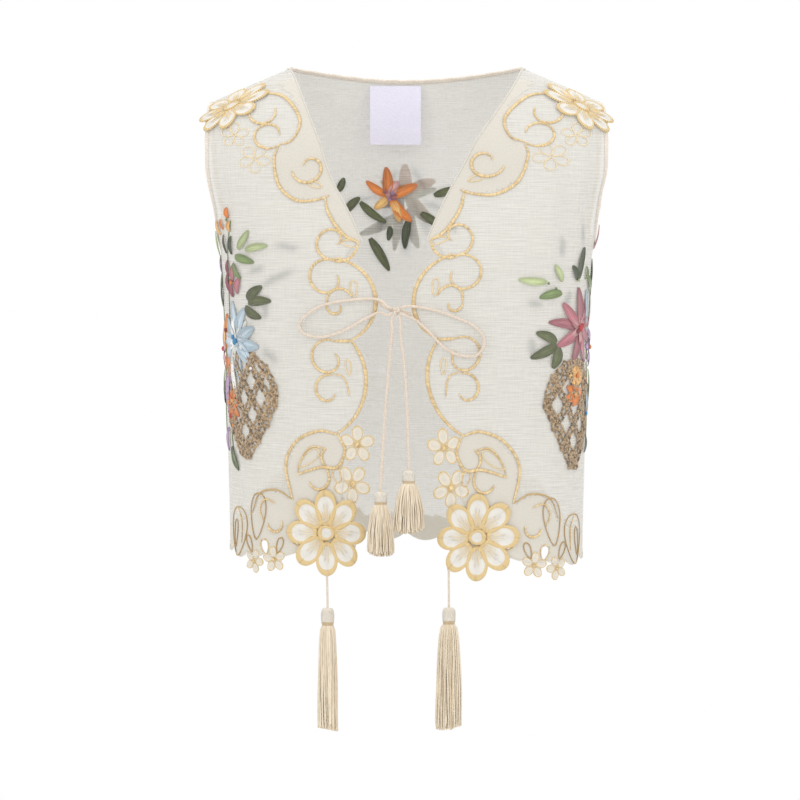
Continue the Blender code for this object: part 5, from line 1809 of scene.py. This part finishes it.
for word, side in SIDES:
    braid = Stitches()
    for number, line in enumerate(lattice_lines(*LATTICES[word])):
        spots = smooth_line(line, LINK_PITCH)
        for spot, way in zip(spots, np.gradient(spots, axis=0)):
            loop = teardrop(*spot, *LINK_SIZE, math.degrees(math.atan2(way[1], way[0])), 13)
            points, ways, normals, _ = course(on_front(side)(loop), 0.0012 + 0.0003 * (number % 2))
            braid.add(points, ways, normals, np.array([1.9, 1.3, 1.0]) * MM)
    dress(braid.lay(f"lattice-basket-{word}", BRAID), "lattice", f"basket_{word}")
print("lattice bands:", 1 + 2 * LATTICE_ROWS)

# %% [markdown]
# ## The lily at the back
#
# A smaller spray sits high on the centre back. The ribbon passes through the cloth, so its petals show on
# the outside and again, a little to one side, on the inside that the neck opening lets us see.

# %% Embroider the lily
BACK_LILY = (
    (-4, -102, 52, 9, 262, "dark green"), (-5, -118, 44, 10, 208, "dark green"),
    (3, -112, 40, 10, -78, "dark green"), (0, -104, 30, 8, 20, "green"),
    (0, -100, 30, 12, 92, "orange"), (0, -100, 27, 11, 150, "apricot"), (0, -100, 31, 12, 28, "orange"),
    (0, -100, 27, 11, 205, "pale rose"), (0, -100, 36, 13, -48, "apricot"),
)
INSIDE_LILY = (
    (-63, -97, 14, 7, 70, "olive"), (-57, -117, 20, 8, 47, "olive"), (-43, -107, 31, 8, -39, "olive"),
    (-15, -130, 14, 6, 263, "dark green"), (-34, -142, 36, 9, -60, "olive"),
    (3, -122, 30, 8, 262, "dark green"),
    (14, -117, 24, 8, -40, "olive"), (26, -100, 22, 8, 20, "olive"), (38, -120, 18, 8, -60, "dark green"),
    (-17, -101, 25, 8, 145, "orange"), (-18, -101, 28, 10, 92, "orange"), (-15, -102, 28, 10, 26, "orange"),
    (-17, -102, 17, 8, 222, "apricot"), (-15, -103, 30, 10, -48, "orange"),
    (-13, -105, 22, 8, -72, "apricot"),
    (-16, -101, 17, 8, 60, "pale rose"), (-16, -102, 10, 6, 5, "rose"),
)
LILY_KNOTS = ((-17, -100, 2.8, "pale rose"), (-13, -98, 2.2, "mauve"), (-20, -97, 2.2, "rose"),
              (-16, -104, 2.2, "mauve"))

dress(ribbon_petals("back-lily", BACK_LILY, from_centre_back), "lily", "back_lily")
dress(ribbon_petals("back-lily-inside", INSIDE_LILY, from_centre_back, inner=True), "lily")
fine = Stitches()
for across, height, radius, dye in LILY_KNOTS:
    fine.knot(from_centre_back([(across, height)]), -0.0030, radius, DYES[dye])
fine.knot(from_centre_back([(0, -100), (4, -97), (-3, -103)]), FRENCH_KNOT_OUT, 2.6, DYES["mauve"])
dress(fine.lay("lily-knots", SILK, dyed=True), "lily")

# %% [markdown]
# ## The tie
#
# A thin two-ply cord is sewn to each front and tied in a bow. Its loops lie on the cloth and its tails
# hang free with a tassel each. A twisted cord is not round: its outline swells twice in every turn. The
# same tube serves the short cords of the hem tassels.

# %% Twist a cord
KNOT = (-9.5, -206)
KNOT_RADIUS = 0.0042
KNOT_OUT = 0.0075
KNOT_GAP = 0.0006
CORDING = 0.0013
TIE_DIAMETER = 0.0028
TIE_CLEARANCE = 0.0005
TIE_ENDS = ((-26.2, -200), (5.4, -209))
RIGHT_LOOP = (
    (-27, -198), (-52, -199), (-73, -203), (-89, -212), (-96, -222), (-90, -230),
    (-75, -232), (-56, -226), (-38, -216), (-25, -210),
)
LEFT_LOOP = (
    (7, -201), (24, -204), (42, -210), (58, -217), (68, -227), (68, -238), (60, -245),
    (44, -243), (31, -235), (20, -223), (8, -213),
)
RIGHT_TAIL = ((-13.5, -232), (-17, -270), (-21, -325), (-23.5, -371))
LEFT_TAIL = ((-5.5, -232), (-2, -260), (0.5, -300), (1.8, -352))
TAIL_DEPTH = -0.1155
HEM_CORD_DIAMETER = 0.0022
HEM_CORD_LENGTHS = {"right": 0.0295, "left": 0.0350}
# How far each cord runs on inside its tassel, where it is bound in
TIE_CORE = 0.013
HEM_CORE = 0.062


def front_point(sideways, height, out):
    """A point in front of the cloth, at a sideways place and a height seen from the front."""
    table = np.linspace(-SIDE_SEAM, SIDE_SEAM, 801)
    down = down_at(table, np.full(801, height))
    across = float(np.interp(sideways, skin(table, down)[:, 0], table))
    return place([(across, float(down_at(np.array([across]), np.array([height]))[0]))], [out])[0]


def carried_frames(line):
    """Ways and side vectors along a line, turning no more than the line itself does."""
    way = unit(np.gradient(line, axis=0))
    side = unit(np.cross(way[0], (0.3, 1.0, 0.2)))
    sides = []
    for step in way:
        side = unit(side - step * (side @ step))
        sides.append(side)
    sides = np.array(sides)
    return way, sides, np.cross(way, sides)


def twisted_cord(name, route, diameter, lay=0.0062, step=0.0009, closed=False):
    """A two-ply cord along a route. Returns the piece and the line that it follows."""
    line = smooth_line(route, step)
    if closed:
        line = line[:-1]
    way, first, second = carried_frames(line)
    angle = np.linspace(0, 2 * math.pi, 10, endpoint=False)
    run = np.arange(len(line)) * step
    phase = angle[None, :] - 2 * math.pi * run[:, None] / lay
    far = diameter / 2 * (0.80 + 0.22 * np.abs(np.cos(phase)))
    rings = line[:, None] + far[..., None] * (
        first[:, None] * np.cos(angle)[None, :, None] + second[:, None] * np.sin(angle)[None, :, None]
    )
    return make_mesh(name, rings.reshape(-1, 3), tube_faces(len(line), len(angle), closed), CORD), line


knot_place = front_point(KNOT[0] * MM, KNOT[1] * MM, KNOT_OUT)


def leave(x, y, z):
    """A cord's end just off the knot, and a point straight beyond it."""
    way = np.array([x, y, z]) / math.hypot(x, y, z)
    return knot_place + way * (KNOT_RADIUS + KNOT_GAP), knot_place + way * (KNOT_RADIUS + KNOT_GAP + 0.004)


t = np.linspace(0, 2 * math.pi, 90)
wound = np.stack(
    [np.sin(t) + 1.6 * np.sin(2 * t), -0.9 * np.sin(3 * t), np.cos(t) - 1.6 * np.cos(2 * t)], -1
)
knot, _ = twisted_cord("tie-knot", knot_place + wound * 0.0012, 0.0027, step=0.0007, closed=True)
dress(knot, "cord", "tie_knot")

rest = TIE_CLEARANCE + TIE_DIAMETER / 2
lie = RIDE + CORDING + rest
for word, side, (x, z) in (("right", RIGHT, TIE_ENDS[0]), ("left", LEFT, TIE_ENDS[1])):
    at_knot, near_knot = leave(0.75 * side, 0.66, 0)
    sewn = front_point(x * MM, z * MM, rest - 0.0006)
    end, _ = twisted_cord(f"tie-end-{word}", [sewn, (sewn + near_knot) / 2, at_knot], TIE_DIAMETER)
    dress(end, "cord", f"tie_end_{word}")

cords = {}
for word, side, route in (("right", RIGHT, RIGHT_LOOP), ("left", LEFT, LEFT_LOOP)):
    first, second = leave(0.9 * side, -0.2, 0.45)
    last, before = leave(0.9 * side, -0.2, -0.45)
    laid = [front_point(x * MM, z * MM, lie) for x, z in route]
    cord_route = [first, second, *laid, before, last]
    loop, line = twisted_cord(f"bow-loop-{word}", cord_route, TIE_DIAMETER)
    dress(loop, "cord", f"bow_loop_{word}")
    cords[loop.name] = (loop, line)
for word, side, route in (("right", RIGHT, RIGHT_TAIL), ("left", LEFT, LEFT_TAIL)):
    first, second = leave(0.42 * side, -0.1, -0.9)
    hung = [(x * MM, TAIL_DEPTH, z * MM) for x, z in route]
    hung.append(np.array(hung[-1]) - (0, 0, TIE_CORE))
    tail, line = twisted_cord(f"tie-tail-{word}", [first, second, *hung], TIE_DIAMETER)
    dress(tail, "cord", f"tie_tail_{word}")
    cords[tail.name] = (tail, line)

# %% [markdown]
# ## Tassels
#
# A tassel is a hank of silk thread bound at the neck. The two on the tie have a netted head and a skirt
# that flares like a bell. The two at the hem have a wound head and hang long and narrow. Each strand is
# its own thread, so a node tree turns drawn lines into thin tubes. Strands are uneven in length and wave
# a little.

# %% The node tree that spins threads
# Node, sideways place, head's radius and height, skirt's radius, length, flatness, turn of the petal that
# the cord hangs from, and how far under that petal's tip the cord starts
TASSELS = (
    ("tie_tassel_right", 0, 5.6, 13, 13.0, 61, 0.72, 0, 0),
    ("tie_tassel_left", 0, 5.8, 13, 14.5, 59, 0.72, 0, 0),
    ("hem_tassel_right", -72.0, 5.6, 18, 9.6, 116, 0.90, 270, 0.0005),
    ("hem_tassel_left", 38.5, 5.6, 17, 12.4, 114, 0.90, 225, 0.0011),
)


def thread_tree():
    tree = Tree("spin threads", Radius="Float")
    lines = tree.node("GeometryNodeMeshToCurve", Mesh=tree.start.outputs["Geometry"])
    ring = tree.node("GeometryNodeCurvePrimitiveCircle", Resolution=4, Radius=tree.start.outputs["Radius"])
    tubes = tree.node(
        "GeometryNodeCurveToMesh", Curve=lines.outputs["Curve"], Profile_Curve=ring.outputs["Curve"],
        Fill_Caps=True,
    )
    smooth = tree.node("GeometryNodeSetShadeSmooth", Geometry=tubes.outputs["Mesh"])
    tree.finish(smooth.outputs["Geometry"])
    return tree


THREAD_TREE = thread_tree()


def spin(name, lines, radius, finish, tones):
    """Thin tubes along many lines, as one plain mesh."""
    points = np.concatenate(lines)
    starts = np.cumsum([0] + [len(line) for line in lines])
    edges = [(i, i + 1) for a, b in zip(starts, starts[1:]) for i in range(a, b - 1)]
    mesh = bpy.data.meshes.new(name)
    mesh.from_pydata(points.tolist(), edges, [])
    tone = np.concatenate([np.full(len(line), tone) for line, tone in zip(lines, tones, strict=True)])
    store_values(mesh, {"tone": tone})
    return THREAD_TREE.bake(name, mesh, radius, finish)


# %% Bind the tassels
GOLDEN_ANGLE = 2.39996
STRAND_RADIUS, NET_RADIUS, BAND_RADIUS = 0.00060, 0.00034, 0.00045
# Shape of the head: share of its height from the top, share of its radius
HEAD_PROFILE = (
    (0.0, 0.30), (0.05, 0.72), (0.16, 0.94), (0.35, 1.0), (0.60, 0.99),
    (0.74, 0.92), (0.84, 0.80), (0.92, 0.88), (1.0, 0.94),
)


def head_radius_at(level, radius):
    return radius * np.interp(level, *zip(*HEAD_PROFILE))


def tassel_head(name, foot, radius, height, flatness):
    """The wound head, with a ridge for every turn of thread."""
    rows, sides = 46, 28
    level = np.linspace(0, 1, rows)
    angle = np.linspace(0, 2 * math.pi, sides, endpoint=False)
    ridge = 1 + 0.028 * np.cos(level * rows * math.pi * 0.62)
    far = head_radius_at(level, radius) * ridge
    rings = np.stack([
        far[:, None] * np.cos(angle), far[:, None] * np.sin(angle) * flatness,
        np.repeat(-level[:, None] * height, sides, 1),
    ], -1)
    points = rings.reshape(-1, 3) + foot
    values = {"tone": np.full(len(points), 0.62)}
    return make_mesh(name, points, tube_faces(rows, sides), TASSEL, None, values)


def helix(foot, radius, height, flatness, start, turns, low, high, clear):
    """A thread wound over the head."""
    level = np.linspace(low, high, 22)
    angle = start + 2 * math.pi * turns * (level - low) / max(high - low, 1e-6)
    far = head_radius_at(level, radius) + clear
    return foot + np.stack([far * np.cos(angle), far * np.sin(angle) * flatness, -level * height], -1)


def skirt(foot, head_radius, head_height, skirt_radius, length, flatness, count, bell, side):
    """Lines of the strands, from inside the head's foot to uneven ends. A wide bell has a rounded foot."""
    lines, tones = [], []
    for k in range(count):
        ring = math.sqrt((k + 0.5) / count)
        angle = k * GOLDEN_ANGLE
        sway, wave = DICE.uniform(-1, 1), DICE.uniform(0, 2 * math.pi)
        slant = 0.022 * (1 + side * ring * math.cos(angle - 0.6)) + (0.09 * ring**3 if bell > 0.5 else 0)
        reach_down = (length - head_height) * (0.98 - 0.07 * DICE.uniform() ** 2 - slant)
        t = np.concatenate([[0, 0.04, 0.10], np.linspace(0.2, 1, 6)])
        open_up = np.sin(t * math.pi / 2) ** bell
        far = head_radius * 0.86 * ring * (1 - open_up) + (skirt_radius - 0.0006) * ring**0.85 * open_up
        around = angle + 0.16 * sway * t + 0.05 * np.sin(5 * t + wave)
        drop = -head_height * 0.90 - (reach_down + head_height * 0.10) * t
        wobble = 0.0004 * np.sin(9 * t + wave) * t
        lines.append(foot + np.stack([
            (far + wobble) * np.cos(around), (far + wobble) * np.sin(around) * flatness, drop
        ], -1))
        tones.append(0.25 + 0.75 * DICE.uniform())
    return lines, tones


def petal_tip(turn, side):
    """The place on the chart of the tip of one of the hem flower's petals."""
    angle = math.radians(turn)
    tip = np.array(HEM_FLOWER[:2]) + HEM_FLOWER[2] * np.array([math.cos(angle), math.sin(angle)])
    return to_side(chart_of([tip]), side)


def joined(name, pieces):
    """Several plain meshes made into one."""
    with bpy.context.temp_override(active_object=pieces[0], selected_editable_objects=pieces):
        bpy.ops.object.join()
    pieces[0].name = name
    pieces[0].data.name = name
    return pieces[0]


cord_knots = Stitches()
for name, sideways, head, head_high, skirt_wide, long, flatness, turn, drop in TASSELS:
    word = name.split("_")[-1]
    side = RIGHT if word == "right" else LEFT
    title = name.replace("_", "-")
    at_hem = name.startswith("hem")
    if at_hem:
        tip_chart = petal_tip(turn, side)
        tip = place(tip_chart, [RIDE + 0.0008])[0]
        cord_knots.knot(tip_chart, RIDE + 0.0012, 1.9)
        start = tip - (0, 0, drop)
        foot = np.array([sideways * MM, tip[1], tip[2] - HEM_CORD_LENGTHS[word]])
        end = foot - (0, 0, HEM_CORE)
        cord_name = title.replace("tassel", "cord")
        cord, line = twisted_cord(cord_name, [start, foot, end], HEM_CORD_DIAMETER, lay=0.005)
        dress(cord, "cord", name.replace("tassel", "cord"))
        cords[cord_name] = (cord, line)
    else:
        route = RIGHT_TAIL if side == RIGHT else LEFT_TAIL
        foot = np.array([route[-1][0] * MM, TAIL_DEPTH, route[-1][1] * MM - SEAM])
    sizes = np.array([head, head_high, skirt_wide, long]) * MM
    parts = [tassel_head(f"{title}-head", foot, sizes[0], sizes[1], flatness)]
    lines, tones = skirt(foot, *sizes, flatness, 200 if at_hem else 230, 0.36 if at_hem else 0.6, side)
    parts.append(spin(f"{title}-skirt", lines, STRAND_RADIUS, TASSEL, tones))
    nets = [helix(foot, sizes[0], sizes[1], flatness, k * math.pi / 5, way * 0.55, 0.03, 0.70, 0.0003)
            for k in range(10) for way in (1, -1)]
    parts.append(spin(f"{title}-net", nets, NET_RADIUS, SILVER, [0.8] * len(nets)))
    bands = [helix(foot, sizes[0], sizes[1], flatness, 0, 1.5, low, low + 0.05, 0.0004)
             for low in (0.72, 0.76, 0.80, 0.84)]
    parts.append(spin(f"{title}-band", bands, BAND_RADIUS, TASSEL, [-0.3] * len(bands)))
    dress(joined(title, parts), "tassel", name)
    print(title, "triangles", TALLY[title])

dress(cord_knots.lay("cord-knots", CORD), "cord")

# %% Say which pieces are cords
for name, (cord, line) in cords.items():
    hem = name.startswith("hem")
    goes_back = name.startswith("bow")
    tassel_name = name.replace("cord", "tassel").replace("tail", "tassel")
    tassel = None if goes_back else bpy.data.objects[tassel_name]
    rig.cord(
        cord, exit=line[0], length=length_of(line), diameter=HEM_CORD_DIAMETER if hem else TIE_DIAMETER,
        far_end="object" if goes_back else "fitting", stiffness="limp",
        lay="loose" if goes_back else "hanging", path=line, with_pieces=() if goes_back else (tassel,),
    )
    print(name, "length", round(length_of(line) * 1000), "mm")

# %% [markdown]
# ## Floor and light
#
# The photograph is a studio cut-out on white, lit from all round with hardly a shadow. A pale floor lies
# well below the hem. Large soft lights stand in front, to both sides and behind, so that the sheer cloth
# glows.


# %% Floor, lights and surroundings
FLOOR_RADIUS = 0.95
FLOOR_HEIGHT = -0.92


def make_floor():
    paper = Finish("floor paper", 0.9)
    grain = paper.noise(paper.object_place(), 40.0, 2.0)
    colour = paper.mix(paper.spread(grain, 0.3, 0.7), (0.86, 0.86, 0.86), (0.90, 0.90, 0.90))
    finish = paper.finish(colour)
    sides = 96
    angle = np.linspace(0, 2 * math.pi, sides, endpoint=False)
    rim = np.stack(
        [FLOOR_RADIUS * np.cos(angle), FLOOR_RADIUS * np.sin(angle), np.full(sides, FLOOR_HEIGHT)], -1
    )
    points = np.concatenate([rim, rim - (0, 0, 0.01)])
    return make_mesh("floor", points, tube_faces(2, sides), finish)


def soft_light(name, place_at, aim, power, size):
    lamp = bpy.data.lights.new(name, "AREA")
    lamp.energy = power
    lamp.size = size
    holder = put_in_scene(name, lamp)
    holder.location = place_at
    holder.rotation_euler = (Vector(aim) - Vector(place_at)).to_track_quat("-Z", "Y").to_euler()


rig.stage(make_floor())
soft_light("front left light", (-1.5, -2.0, 0.9), (0, 0, -0.25), 10, 1.2)
soft_light("front right light", (1.7, -1.8, 0.5), (0, 0, -0.25), 8, 1.2)
soft_light("top light", (0, -0.3, 1.6), (0, 0.05, -0.15), 8, 1.4)
soft_light("back light", (0.2, 2.0, 0.3), (0, 0, -0.25), 14, 1.6)

world = bpy.data.worlds.new("studio")
world.use_nodes = True
world.node_tree.nodes["Background"].inputs["Color"].default_value = (1.0, 1.0, 1.0, 1.0)
world.node_tree.nodes["Background"].inputs["Strength"].default_value = 1.0
bpy.context.scene.world = world
bpy.context.scene.view_settings.view_transform = "Standard"

# %% [markdown] ## The size of the model and of the scene The bounds of the imported model and of the dressed one
# are written side by side.

# %% Finish
scene_box = [list(corner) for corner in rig.bounds()]
with open("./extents.json", "w") as file:
    json.dump({"cad": cad_box, "scene": scene_box}, file, indent=1)
print("size, model:", cad_box)
print("size, scene:", scene_box)
print("triangles in all:", sum(TALLY.values()), "most:", max(TALLY.items(), key=lambda row: row[1]))
